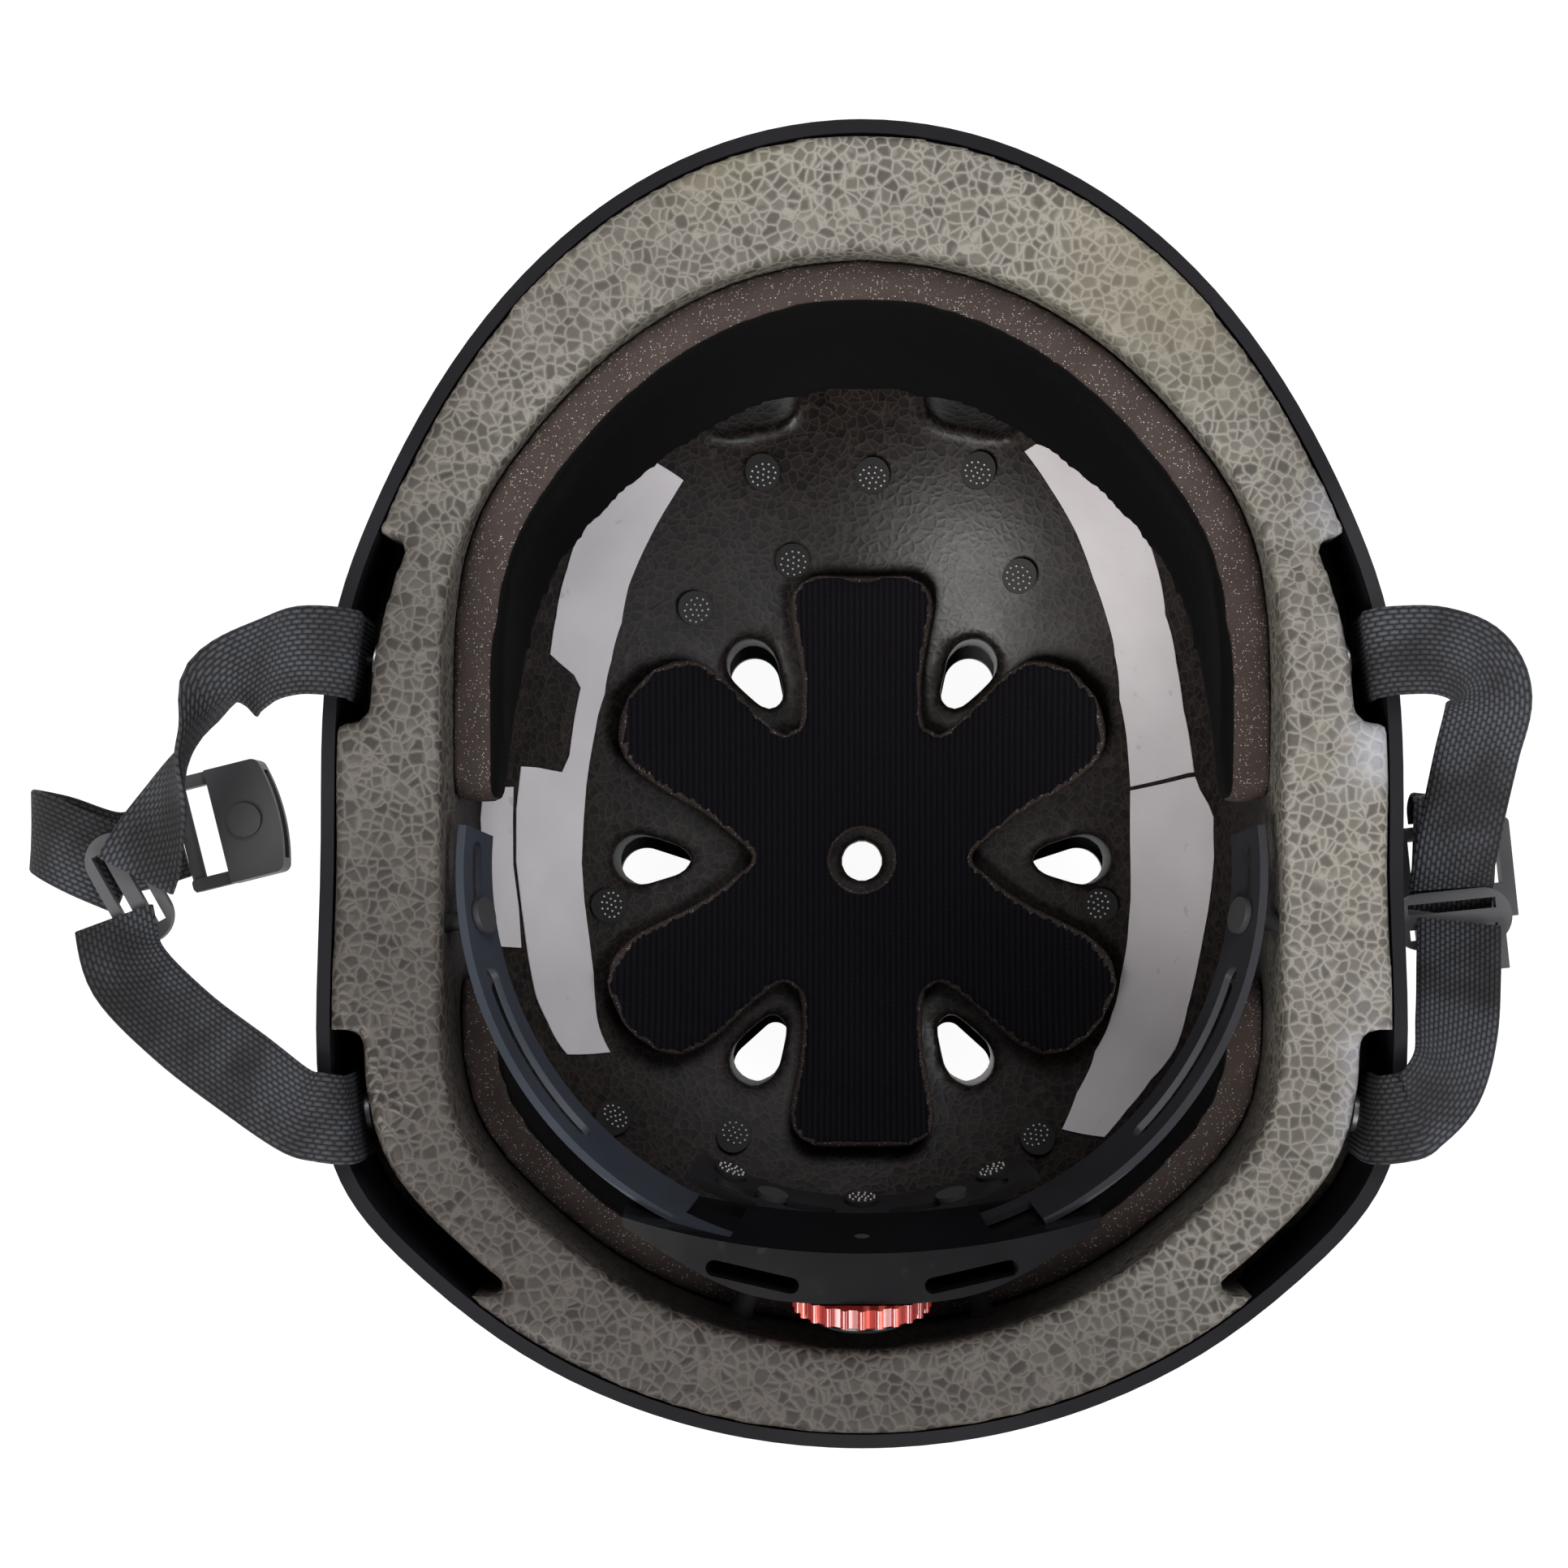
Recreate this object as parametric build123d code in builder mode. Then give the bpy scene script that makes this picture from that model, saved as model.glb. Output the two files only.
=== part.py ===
from build123d import *
from math import acos, atan2, copysign, cos, degrees, pi, radians, sin, tan
import os

# Skateboard helmet lying on its crown: +Z out of the head opening, +Y to the brow,
# +X to the wearer's left. The origin is the outermost point of the crown.

# outer shell and the foam's thickness inside it
shell_half_width = 118
shell_wall = 3
foam_side = 24.5
foam_front = 26
foam_rear = 19.1
widest_level = 108
bowl_top = 163

# foam liner: the head opening is set by the fit ring inside it
liner_gap = 0.3
cavity_half_width = shell_half_width - shell_wall - foam_side
ring_room = 6
ring_radius = cavity_half_width - ring_room
brow_room = 47.5
dial_room = 21.9
cavity_front = ring_radius + brow_room
cavity_rear = ring_radius + dial_room
shell_front = cavity_front + foam_front + shell_wall
shell_rear = cavity_rear + foam_rear + shell_wall
cavity_floor = 28
cavity_widest = 113
liner_rise = 1.5
notch_depth = 7
notch_floor = 120

# rim, as places along the helmet and the level of the shell's edge there
route_size = 100
rim_reach = 190
rim_shares = ((1.9, 1.405), (0.95, 1.405), (0.72, 1.43), (0.45, 1.525), (0.1, 1.53),
              (-0.4, 1.525), (-0.9, 1.55), (-1.9, 1.56))
bowl_shares = ((0.077, 0), (0.204, 0.0138), (0.377, 0.055), (0.5325, 0.1225), (0.73, 0.27),
               (0.8775, 0.4675), (0.969, 0.7073), (1, 1))
upper_shares = ((0.996, 0.5), (0.984, 1))
outline_steps = 32
corner_power = 40
shell_round_shares = (1.03, 1.1525)
cavity_round_shares = (1.144, 1.156)

# vents
crown_vent_radius = 5.5
vent_big_radius = 6.4
vent_small_radius = 3.6
vent_length = 9
shell_vent_shift = 3
vent_places_shares = ((0.31, 0.55, 60), (-0.31, 0.55, 120), (0.62, 0, 0), (-0.62, 0, 180),
                      (0.3, -0.56, -60), (-0.3, -0.56, -120))
brow_vent_x = 27
brow_vent_y = 119
brow_vent_z = 57
brow_vent_radius = 7
brow_vent_length = 9
brow_vent_turn = 48

# pads
pad_gap = 0.3
brow_pad_thick = 9.5
brow_pad_shares = ((0.12, 1.37), (0.12, 1.13), (0.5, 0.9), (1.06, 0.78), (1.4, 0.77),
                   (1.4, 1.36))
brow_pad_round = 6
rear_pad_thick = 8
rear_pad_shares = ((-0.27, 1.24), (-0.27, 0.98), (-1.1, 0.94), (-1.1, 1.23))
rear_pad_round = 8
front_notch_from = 28
front_notch_to = 69
rear_notch_from = -95
rear_notch_to = -38
crown_pad_thick = 6.5
crown_pad_half_length = 73
crown_pad_arm = 17.5
crown_arm_corner = 9
crown_hole = 8
crown_arm_root = 17
crown_tip_radius = 11.5
crown_tip_shares = ((0.58, 0.42), (-0.58, 0.42), (0.6, -0.41), (-0.6, -0.41))
dot_radius = 4.2
dot_thick = 1
dot_shares = ((-0.271, 1.055), (0.029, 1.052), (0.317, 1.058), (-0.192, 0.828),
              (0.435, 0.782), (-0.461, 0.695), (-0.694, -0.127), (0.657, -0.127),
              (-0.67, -0.7), (-0.351, -0.757), (0.478, -0.758))

# fit ring: a leaning cone about its own axis
ring_y = -1.5
ring_z = 144
ring_tilt = 9.5
cone_tilt = 22
ring_frame = Plane((0, ring_y, ring_z), x_dir=(1, 0, 0),
                   z_dir=(0, sin(radians(ring_tilt)), cos(radians(ring_tilt))))
band_half_thick = 0.8
band_half_height = 9.3
band_end_half = 5
band_end = 94.5
band_shoulder = 26
band_past_centre = 4.5
slot_half = 2.1
pin_radius = 2
pin_length = 12
pin_head = 4
pin_head_gap = 1.1
pin_head_height = 1.4
wedge_share = 1.04
slot_from = 81.5
slot_to = 91.3
window_from = 46
window_to = 72
window_half = 2.6

# dial
pitch_radius = 5
teeth = 8
tooth_backlash = 0.6
pressure = 20
pinion_tip = 6
pinion_root = 4
pinion_half = 0.95
rack_tip = 0.65
rack_root = 1.3
flank_steps = 4
rack_gaps = 8
spindle_radius = 3
running_gap = 0.06
stub_radius = 1.6
channel_half = 1.4
channel_height = 9.6
channel_open = 30
channel_turn = 45
housing_top = 11.5
housing_bottom = -13.6
housing_end = 50
housing_inner = 3.2
housing_end_inner = 11.2
housing_end_rear = 9.2
housing_rear = 8
rear_edge_shares = ((0.8, -0.3), (0.5, 0.68), (0, 1), (-0.5, 0.68), (-0.8, -0.3))
slot_near = (15, 3.9)
slot_far = (31, 0)
housing_slot_half = 1.8
cover_thick = 1.6
boss_radius = 10.5
boss_face = 8.2
dial_gap = 0.3
lens_radius = 14
lens_bore = 11
lens_thick = 4
rib_radius = 0.9
rib_count = 24
flange_radius = 10.9
flange_thick = 1
cell_radius = 6.25
cell_thick = 2
board_radius = 9
board_thick = 0.8
board_gap = 0.06
cap_thick = 1.3
cap_skirt = 1
cap_skirt_height = 2
spring_room = 1.1
small_gap = 0.1
spring_radius = 6
spring_wire = 0.25
click_near = 6.35
click_leaf = 0.4
click_half = 2.7
click_stem_half = 0.8
click_stem = 3
click_root = 1.3
click_root_depth = 3

# cradle
cradle_top = -18
cradle_bottom = -34
cradle_turn = 30
cradle_half_thick = 1
cradle_window_rise = -22.5
cradle_window_half = 2
cradle_windows = ((-24, -19), (-12, -6), (6, 12), (19, 24))
riser_turns = ((-17.5, -13.5), (13.5, 17.5))
cradle_dot_turns = (-24, 0, 24)
cradle_dot_rise = -29.5
stud_radius = 2.5
stud_turn = 15.5
stud_rise = -24
stud_length = 30
stud_head_height = 1.2
cradle_dot_radius = 3.8
screw_x = 42
screw_y = 6.2
screw_radius = 1.25
screw_length = 12
screw_head = 2.2
screw_head_height = 1.3

# webbing
strap_width = 19
strap_thick = 1.5
strap_steps = 3
wall_level_inset = 1.6
tab_floor = 126
tab_top = 155.2
tab_inset = 7.2
rivet_level = 134
rivet_radius = 2
rivet_head = 5
rivet_head_height = 1.6
rivet_hole_gap = 0.1
rivet_taper = 25
rivet_tail = 3
washer_radius = 4.5
washer_thick = 1
front_strap_y = 43
rear_strap_y = -58
# stations of each strap: distance out from the shell's side, place along, level, and
# the direction across the webbing
left_front_shares = (
    ((-0.091, 0.423, 1.568), (-0.12, 1, 0)), ((-0.04, 0.43, 1.59), (-0.12, 1, 0)),
    ((0.03, 0.43, 1.58), (-0.1, 1, 0)), ((0.11, 0.41, 1.52), (-0.3, 1, 0.2)),
    ((0.21, 0.36, 1.44), (-0.4, 0.7, 0.7)), ((0.29, 0.26, 1.35), (-0.2, 0.3, 1)),
    ((0.37, 0.12, 1.26), (-0.6, 0, 0.7)), ((0.465, -0.045, 1.18), (-1, 0, 0.1)))
left_rear_shares = (
    ((-0.076, -0.572, 1.568), (0.126, 1, 0)), ((-0.03, -0.565, 1.59), (0.1, 1, 0)),
    ((0.03, -0.55, 1.58), (-0.1, 1, 0)), ((0.15, -0.48, 1.5), (-0.5, 0.85, 0)),
    ((0.32, -0.38, 1.36), (-0.65, 0.75, 0)), ((0.47, -0.26, 1.23), (-0.87, 0.5, 0)),
    ((0.515, -0.145, 1.175), (-0.9, 0.4, 0)))
left_chin_shares = (
    ((0.49, -0.045, 1.125), (-0.3, 1, 0)), ((0.6, 0, 1.115), (-0.2, 1, 0)),
    ((0.69, 0.04, 1.075), (-0.1, 1, 0)), ((0.74, 0.06, 1.01), (0, 1, 0)),
    ((0.7, 0.05, 0.955), (0.1, 1, 0)), ((0.56, 0.009, 0.94), (0.2, 1, 0)),
    ((0.415, 0.045, 0.945), (0.25, 1, 0)))
right_front_shares = (
    ((-0.091, 0.423, 1.568), (-0.12, 1, 0)), ((-0.04, 0.43, 1.59), (-0.12, 1, 0)),
    ((0.06, 0.43, 1.57), (0, 1, 0)), ((0.15, 0.4, 1.5), (0.6, 0.9, 0)),
    ((0.19, 0.33, 1.42), (1, 0.35, 0.3)), ((0.18, 0.22, 1.34), (1, 0.15, 0.1)),
    ((0.165, 0.1, 1.28), (1, 0.1, 0)), ((0.15, -0.015, 1.24), (1, 0.1, 0)),
    ((0.152, -0.07, 1.184), (1, 0.1, 0)))
right_rear_shares = (
    ((-0.076, -0.572, 1.568), (0.126, 1, 0)), ((-0.03, -0.565, 1.59), (0.1, 1, 0)),
    ((0.01, -0.55, 1.585), (-0.1, 1, 0)), ((0.08, -0.48, 1.52), (-0.6, 0.8, 0)),
    ((0.12, -0.37, 1.42), (-0.95, 0.35, 0)), ((0.15, -0.25, 1.29), (-1, 0.1, 0)),
    ((0.17, -0.155, 1.195), (-1, 0, 0)))
right_chin_shares = (
    ((0.16, -0.135, 1.13), (1, 0.1, 0)), ((0.17, -0.05, 1.12), (1, 0.1, 0)),
    ((0.18, 0.05, 1.09), (1, 0.1, 0)), ((0.193, 0.13, 1.04), (1, 0.1, 0)),
    ((0.193, 0.14, 0.99), (1, 0.1, 0)), ((0.187, 0.12, 0.967), (1, 0.1, 0)),
    ((0.19, 0.083, 0.965), (1, 0.1, 0)))
left_divider_shares = ((0.485, -0.075, 1.15), (-0.49, -0.87, 0))
right_divider_shares = ((0.16, -0.145, 1.16), (1, 0.1, 0))
divider_length = 27
divider_width = 13
divider_half = 1.5
divider_slot_length = 20
divider_slot = 2.4
divider_slot_shift = 2.9

# buckle
buckle_width = 27
bar_radius = 1.7
frame_wall = 3
frame_height = 4.4
socket_slot = 6
socket_length = 12.5
socket_height = 9.6
socket_bulge = 2
socket_mouth_width = 21.2
socket_mouth_height = 5
socket_depth = 11
tongue_slot = 11.5
tongue_width = 20.4
tongue_length = 12
shoulder_length = 8
catch_width = 8
catch_length = 4
button_radius = 4
button_from = 14.2
button_gap = 0.06
button_rise = 0.8
female_place_shares = (0.395, 0.05, 0.945)
female_turn = 14
male_place_shares = (0.193, 0.06, 0.965)
male_turn = -84


def bowl(half_width, front, rear, floor, widest, round_shares):
    """Solid under a bowl surface, from its flat crown up past the rim."""
    levels = [(share, floor + (widest - floor) * rise) for share, rise in bowl_shares]
    levels += [(share, widest + (bowl_top - widest) * rise) for share, rise in upper_shares]
    with BuildPart() as body:
        for share, level in levels:
            with BuildSketch(Plane.XY.offset(level)):
                with BuildLine():
                    Spline(*plan_points(half_width * share, front * share, rear * share,
                                        round_shares), periodic=True)
                make_face()
        loft()
    return body.part


def flattened(reach, half_width):
    """Distance from the middle, held softly within the flat side."""
    return reach / (1 + (reach / half_width) ** corner_power) ** (1 / corner_power)


def plan_points(half_width, front, rear, round_shares):
    """One level's outline: half ellipses front and rear, wider than the flat sides."""
    points = []
    for step in range(outline_steps):
        turn = 2 * pi * step / outline_steps
        ahead = sin(turn) >= 0
        reach = half_width * round_shares[0 if ahead else 1] * abs(cos(turn))
        points.append((copysign(flattened(reach, half_width), cos(turn)),
                       (front if ahead else rear) * sin(turn)))
    return points


def shell_bowl(inset):
    """Bowl standing inside the shell's outside by the inset."""
    return bowl(shell_half_width - inset, shell_front - inset, shell_rear - inset,
                inset, widest_level, shell_round_shares)


def cavity(inset):
    """Bowl standing inside the liner's cavity by the inset."""
    return bowl(cavity_half_width - inset, cavity_front - inset, cavity_rear - inset,
                cavity_floor + inset, cavity_widest, cavity_round_shares)


def above_rim(lift):
    """Everything above the rim line raised by the lift."""
    with BuildPart() as body:
        with BuildSketch(Plane.YZ):
            with BuildLine():
                edge = Spline(*[(y * route_size, z * route_size + lift) for y, z in rim_shares])
                Polyline(edge @ 1, (-rim_reach, rim_reach), (rim_reach, rim_reach), edge @ 0)
            make_face()
        extrude(amount=rim_reach, both=True)
    return body.part


def teardrops(shift):
    """Upright cutters for the six vents round the crown."""
    with BuildPart() as body:
        for x, y, turn in vent_places_shares:
            place = Location((x * cavity_half_width, y * cavity_half_width - shift, 0),
                             (0, 0, turn))
            with BuildSketch(Plane(place)):
                Circle(vent_big_radius)
                with Locations((-vent_length, 0)):
                    Circle(vent_small_radius)
                make_hull()
            extrude(amount=rim_reach)
    return body.part


def brow_vents():
    """Two oval cutters aimed forward through the brow."""
    with BuildPart() as body:
        for side in (-1, 1):
            aim = Vector(0, sin(radians(brow_vent_turn)), -cos(radians(brow_vent_turn)))
            place = Plane((side * brow_vent_x, brow_vent_y, brow_vent_z), x_dir=(1, 0, 0),
                          z_dir=aim)
            with BuildSketch(place):
                SlotCenterToCenter(brow_vent_length, 2 * brow_vent_radius)
            extrude(amount=route_size / 2, both=True)
    return body.part


def slab(low, high, rear, front):
    """Block across the whole helmet between two levels and two places along it."""
    with BuildPart() as body:
        with BuildSketch(Plane.XY.offset(low)):
            with Locations((0, (rear + front) / 2)):
                Rectangle(2 * rim_reach, front - rear)
        extrude(amount=high - low)
    return body.part


def from_the_side(outline_shares, corner):
    """Prism across the helmet over a rounded outline seen from its side."""
    with BuildPart() as body:
        with BuildSketch(Plane.YZ):
            with BuildLine():
                Polyline(*[(y * route_size, z * route_size) for y, z in outline_shares],
                         close=True)
            make_face()
            fillet(vertices(), corner)
        extrude(amount=rim_reach, both=True)
    return body.part


def ring_direction(turn, aside, up, out):
    """Direction at a turn about the fit ring, from shares along, up and out."""
    around, lean = radians(turn), radians(cone_tilt)
    local = Vector(cos(around), sin(around), 0) * aside
    local += Vector(sin(lean) * sin(around), -sin(lean) * cos(around), cos(lean)) * up
    local += Vector(cos(lean) * sin(around), -cos(lean) * cos(around), -sin(lean)) * out
    return (ring_frame.x_dir * local.X + ring_frame.y_dir * local.Y
            + ring_frame.z_dir * local.Z)


def ring_plane(turn, rise, out):
    """Plane touching the ring's cone: X along it, Y up its slant, Z outward."""
    outward = ring_direction(turn, 0, 0, 1)
    rear = ring_direction(turn, 0, 0, cos(radians(cone_tilt)))
    rear += ring_direction(turn, 0, sin(radians(cone_tilt)), 0)
    place = ring_frame.origin + rear * ring_radius
    place += ring_direction(turn, 0, rise, out)
    return Plane(place, x_dir=ring_direction(turn, 1, 0, 0), z_dir=outward)


def strip(turn_from, turn_to, low, high, half_thick):
    """Piece of the ring's cone between two turns and two heights up its slant."""
    lean = radians(cone_tilt)
    side = ring_direction(turn_from, 0, sin(lean), cos(lean))
    corners = []
    for rise, out in ((low, -half_thick), (low, half_thick), (high, half_thick),
                      (high, -half_thick)):
        corners.append((ring_radius + rise * sin(lean) + out * cos(lean),
                        rise * cos(lean) - out * sin(lean)))
    with BuildPart() as body:
        with BuildSketch(Plane(ring_frame.origin, x_dir=side,
                               z_dir=side.cross(ring_frame.z_dir))):
            with BuildLine():
                Polyline(*corners, close=True)
            make_face()
        revolve(axis=Axis(ring_frame.origin, ring_frame.z_dir),
                revolution_arc=turn_to - turn_from)
    return body.part


def wall_place(y, inset):
    """Point and outward direction of the shell's outside at the rim, moved in."""
    reach, share = ((shell_front, shell_round_shares[0]) if y >= 0
                    else (shell_rear, shell_round_shares[1]))
    height = (1 - (y / reach) ** 2) ** 0.5
    wide = shell_half_width * share
    x = flattened(wide * height, shell_half_width)
    bend = (x / (wide * height)) ** (1 + corner_power)
    out = Vector(1, bend * wide * y / (height * reach ** 2), 0).normalized()
    return Vector(x, y, 0) - out * inset, out


def strap_plane(side, y, inset, level):
    """Plane on the side wall: its X along the wall, its Z outward."""
    point, out = wall_place(y, inset)
    return Plane((side * point.X, point.Y, level), x_dir=(-side * out.Y, out.X, 0),
                 z_dir=(side * out.X, out.Y, 0))


def strap_planes(inset, level):
    """The four strap places, both sides of the front and the rear."""
    return [strap_plane(side, y, inset, level)
            for side in (-1, 1) for y in (front_strap_y, rear_strap_y)]


def beside(side, shares):
    """Point beside the shell: out from its side, along the helmet and up."""
    out, along, level = shares
    return Vector(side * (shell_half_width + out * route_size), along * route_size,
                  level * route_size)


def between(first, second, share):
    """Station partway from one to the next: place and direction across."""
    return [[start + (end - start) * share for start, end in zip(near, far)]
            for near, far in zip(first, second)]


def strap_corners(place, across, ahead):
    """Corners of the flat section at a place, in turn about it."""
    across = across - ahead * across.dot(ahead)
    flat = across.normalized() * (strap_width / 2)
    proud = ahead.cross(flat).normalized() * (strap_thick / 2)
    return [place + flat + proud, place - flat + proud, place - flat - proud,
            place + flat - proud]


def webbing(side, route):
    """Flat strap through stations of place and direction across, its corners kept in turn."""
    stations = [route[0]]
    for first, second in zip(route, route[1:]):
        stations += [between(first, second, (step + 1) / strap_steps)
                     for step in range(strap_steps)]
    places = [beside(side, place) for place, across in stations]
    sections = []
    for index, (place, across) in enumerate(stations):
        before = places[max(index - 1, 0)]
        after = places[min(index + 1, len(places) - 1)]
        level = Vector(side * across[0], across[1], across[2])
        sections.append(strap_corners(places[index], level, (after - before).normalized()))
    outlines = [sections[0], sections[-1]]
    for first, second in zip(sections, sections[1:]):
        for near, far in ((0, 1), (3, 2), (1, 2), (0, 3)):
            outlines.append((first[near], first[far], second[far]))
            outlines.append((first[near], second[far], second[near]))
    with BuildPart() as body:
        add(Solid(Shell([Face(Wire.make_polygon(corners)) for corners in outlines])))
    return body.part


# shell
liner_inset = shell_wall + liner_gap
notch_inset = liner_inset + notch_depth
rivet_seats = strap_planes(wall_level_inset, rivet_level)
cut_length = route_size / 2

with BuildPart() as outer_shell:
    add(shell_bowl(0))
    add(shell_bowl(shell_wall), mode=Mode.SUBTRACT)
    add(above_rim(0), mode=Mode.SUBTRACT)
    add(teardrops(shell_vent_shift), mode=Mode.SUBTRACT)
    add(brow_vents(), mode=Mode.SUBTRACT)
    with BuildSketch(Plane.XY):
        Circle(crown_vent_radius)
    extrude(amount=bowl_top, mode=Mode.SUBTRACT)
    for seat in rivet_seats:
        with BuildSketch(seat):
            Circle(rivet_head + small_gap)
        extrude(amount=shell_wall, mode=Mode.SUBTRACT)
        with BuildSketch(seat):
            Circle(rivet_radius + rivet_hole_gap)
        extrude(amount=-2 * shell_wall, mode=Mode.SUBTRACT)

# liner
stud_planes = [ring_plane(side * stud_turn, stud_rise, cradle_half_thick)
               for side in (-1, 1)]
pin_planes = [ring_plane(side * slot_from, 0, 0) for side in (-1, 1)]

with BuildPart() as notches:
    add(slab(notch_floor, bowl_top, front_notch_from, front_notch_to))
    add(slab(notch_floor, bowl_top, rear_notch_from, rear_notch_to))
    add(shell_bowl(notch_inset), mode=Mode.SUBTRACT)

with BuildPart() as foam_liner:
    add(shell_bowl(liner_inset))
    add(cavity(0), mode=Mode.SUBTRACT)
    add(above_rim(liner_rise), mode=Mode.SUBTRACT)
    add(notches.part, mode=Mode.SUBTRACT)
    add(teardrops(0), mode=Mode.SUBTRACT)
    add(brow_vents(), mode=Mode.SUBTRACT)
    with BuildSketch(Plane.XY):
        Circle(crown_vent_radius)
    extrude(amount=bowl_top, mode=Mode.SUBTRACT)
    for plane in stud_planes:
        with BuildSketch(plane):
            Circle(stud_radius + small_gap)
        extrude(amount=stud_length + small_gap, mode=Mode.SUBTRACT)
    for plane in pin_planes:
        with BuildSketch(plane):
            Circle(pin_radius + small_gap)
        extrude(amount=pin_length + small_gap, mode=Mode.SUBTRACT)

# pads and hook dots
with BuildPart() as brow_pad:
    add(cavity(pad_gap))
    add(cavity(pad_gap + brow_pad_thick), mode=Mode.SUBTRACT)
    add(from_the_side(brow_pad_shares, brow_pad_round), mode=Mode.INTERSECT)

with BuildPart() as rear_pad:
    add(cavity(pad_gap))
    add(cavity(pad_gap + rear_pad_thick), mode=Mode.SUBTRACT)
    add(from_the_side(rear_pad_shares, rear_pad_round), mode=Mode.INTERSECT)

with BuildPart() as star:
    with BuildSketch(Plane.XY):
        for x, y in crown_tip_shares:
            with BuildSketch(mode=Mode.PRIVATE) as arm:
                Circle(crown_arm_root)
                with Locations((x * cavity_half_width, y * cavity_half_width)):
                    Circle(crown_tip_radius)
                make_hull()
            add(arm.sketch)
        RectangleRounded(2 * crown_pad_arm, 2 * crown_pad_half_length, crown_arm_corner)
        Circle(crown_hole, mode=Mode.SUBTRACT)
    extrude(amount=crown_pad_half_length)

with BuildPart() as crown_pad:
    add(cavity(pad_gap))
    add(cavity(pad_gap + crown_pad_thick), mode=Mode.SUBTRACT)
    add(star.part, mode=Mode.INTERSECT)

with BuildPart() as dot_columns:
    with BuildSketch(Plane.XY):
        with Locations(*[(x * cavity_half_width, y * cavity_half_width)
                         for x, y in dot_shares]):
            Circle(dot_radius)
    extrude(amount=bowl_top)

with BuildPart() as hook_dots:
    add(cavity(pad_gap))
    add(cavity(pad_gap + dot_thick), mode=Mode.SUBTRACT)
    add(dot_columns.part, mode=Mode.INTERSECT)

# fit bands: each runs from its front pin past the rear centre, where it carries a rack
pitch = 2 * pi * pitch_radius / teeth


def rack_cutters(side):
    """Tooth gaps of the band on one side; the left rack runs above the pinion."""
    up = -side
    step = degrees(pitch / (ring_radius + up * pitch_radius * sin(radians(cone_tilt))))
    slope = tan(radians(pressure))
    half_gap = (pitch + tooth_backlash) / 4
    with BuildPart() as body:
        for index in range(rack_gaps):
            turn = side * (index - 1) * step
            with BuildSketch(ring_plane(turn, up * pitch_radius, 0)):
                with BuildLine():
                    Polyline((-half_gap - rack_tip * slope * 2, -up * rack_tip * 2),
                             (half_gap + rack_tip * slope * 2, -up * rack_tip * 2),
                             (half_gap - rack_root * slope, up * rack_root),
                             (-half_gap + rack_root * slope, up * rack_root), close=True)
                make_face()
            extrude(amount=2 * band_half_thick, both=True)
    return body.part


def side_wedge():
    """Outline seen from the side that narrows the bands towards their front ends."""
    side_plane = Plane(ring_frame.origin, x_dir=ring_frame.y_dir, z_dir=-ring_frame.x_dir)
    wide = band_half_height * cos(radians(cone_tilt)) * wedge_share
    with BuildPart() as body:
        with BuildSketch(side_plane):
            with BuildLine():
                Polyline((-rim_reach, wide), (-ring_radius, wide), (ring_radius / 4, band_end_half),
                         (ring_radius / 4, -band_end_half), (-ring_radius, -wide),
                         (-rim_reach, -wide), close=True)
            make_face()
        extrude(amount=rim_reach, both=True)
    return body.part


def slot_cutter(turn_from, turn_to, half, rise):
    """Long hole along a band with its ends rounded."""
    with BuildPart() as body:
        add(strip(turn_from, turn_to, rise - half, rise + half, 2 * band_half_thick))
        for turn in (turn_from, turn_to):
            with BuildSketch(ring_plane(turn, rise, 0)):
                Circle(half)
            extrude(amount=2 * band_half_thick, both=True)
    return body.part


def band(side):
    """Fit band of one side with its rack, long window and front slot."""
    up = -side
    turns = sorted((side * band_shoulder, side * band_end))
    rack = sorted((side * (band_shoulder + 1), -side * band_past_centre))
    heights = sorted((up * (pitch_radius - rack_tip), up * band_half_height))
    with BuildPart() as body:
        add(strip(*turns, -band_half_height, band_half_height, band_half_thick))
        add(side_wedge(), mode=Mode.INTERSECT)
        add(strip(*rack, *heights, band_half_thick))
        add(rack_cutters(side), mode=Mode.SUBTRACT)
        add(slot_cutter(*sorted((side * window_from, side * window_to)), window_half, 0),
            mode=Mode.SUBTRACT)
        add(slot_cutter(*sorted((side * slot_from, side * slot_to)), slot_half, 0),
            mode=Mode.SUBTRACT)
    return body.part


with BuildPart() as left_band:
    add(band(-1))
with BuildPart() as right_band:
    add(band(1))

with BuildPart() as band_pins:
    for plane in pin_planes:
        with BuildSketch(plane):
            Circle(pin_radius)
        extrude(amount=pin_length)
        with BuildSketch(plane):
            Circle(pin_radius)
        extrude(amount=-pin_head_gap)
        with BuildSketch(plane.offset(-pin_head_gap)):
            Circle(pin_head)
        extrude(amount=-pin_head_height)

# dial unit: housing, cover, pinion, lit knob
dial = ring_plane(0, 0, 0)
dial_foot = boss_face + dial_gap
cap_radius = lens_bore - running_gap


def across_plane(height):
    """Plane across the dial unit: X along it, Y towards the head, Z up the slant."""
    return Plane(dial.origin + dial.y_dir * height, x_dir=dial.x_dir, z_dir=dial.y_dir)


def crescent(low, high):
    """Crescent seen from the head opening, between two heights."""
    with BuildPart() as body:
        with BuildSketch(across_plane(low)):
            with BuildLine():
                inner = ThreePointArc((-housing_end, housing_end_inner), (0, housing_inner),
                                      (housing_end, housing_end_inner))
                rear_points = [(x * housing_end, -y * housing_rear)
                               for x, y in rear_edge_shares]
                Spline((housing_end, housing_end_rear), *rear_points,
                       (-housing_end, housing_end_rear))
                Line((housing_end, housing_end_inner), (housing_end, housing_end_rear))
                Line((-housing_end, housing_end_inner), (-housing_end, housing_end_rear))
            make_face()
        extrude(amount=high - low)
    return body.part


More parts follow.
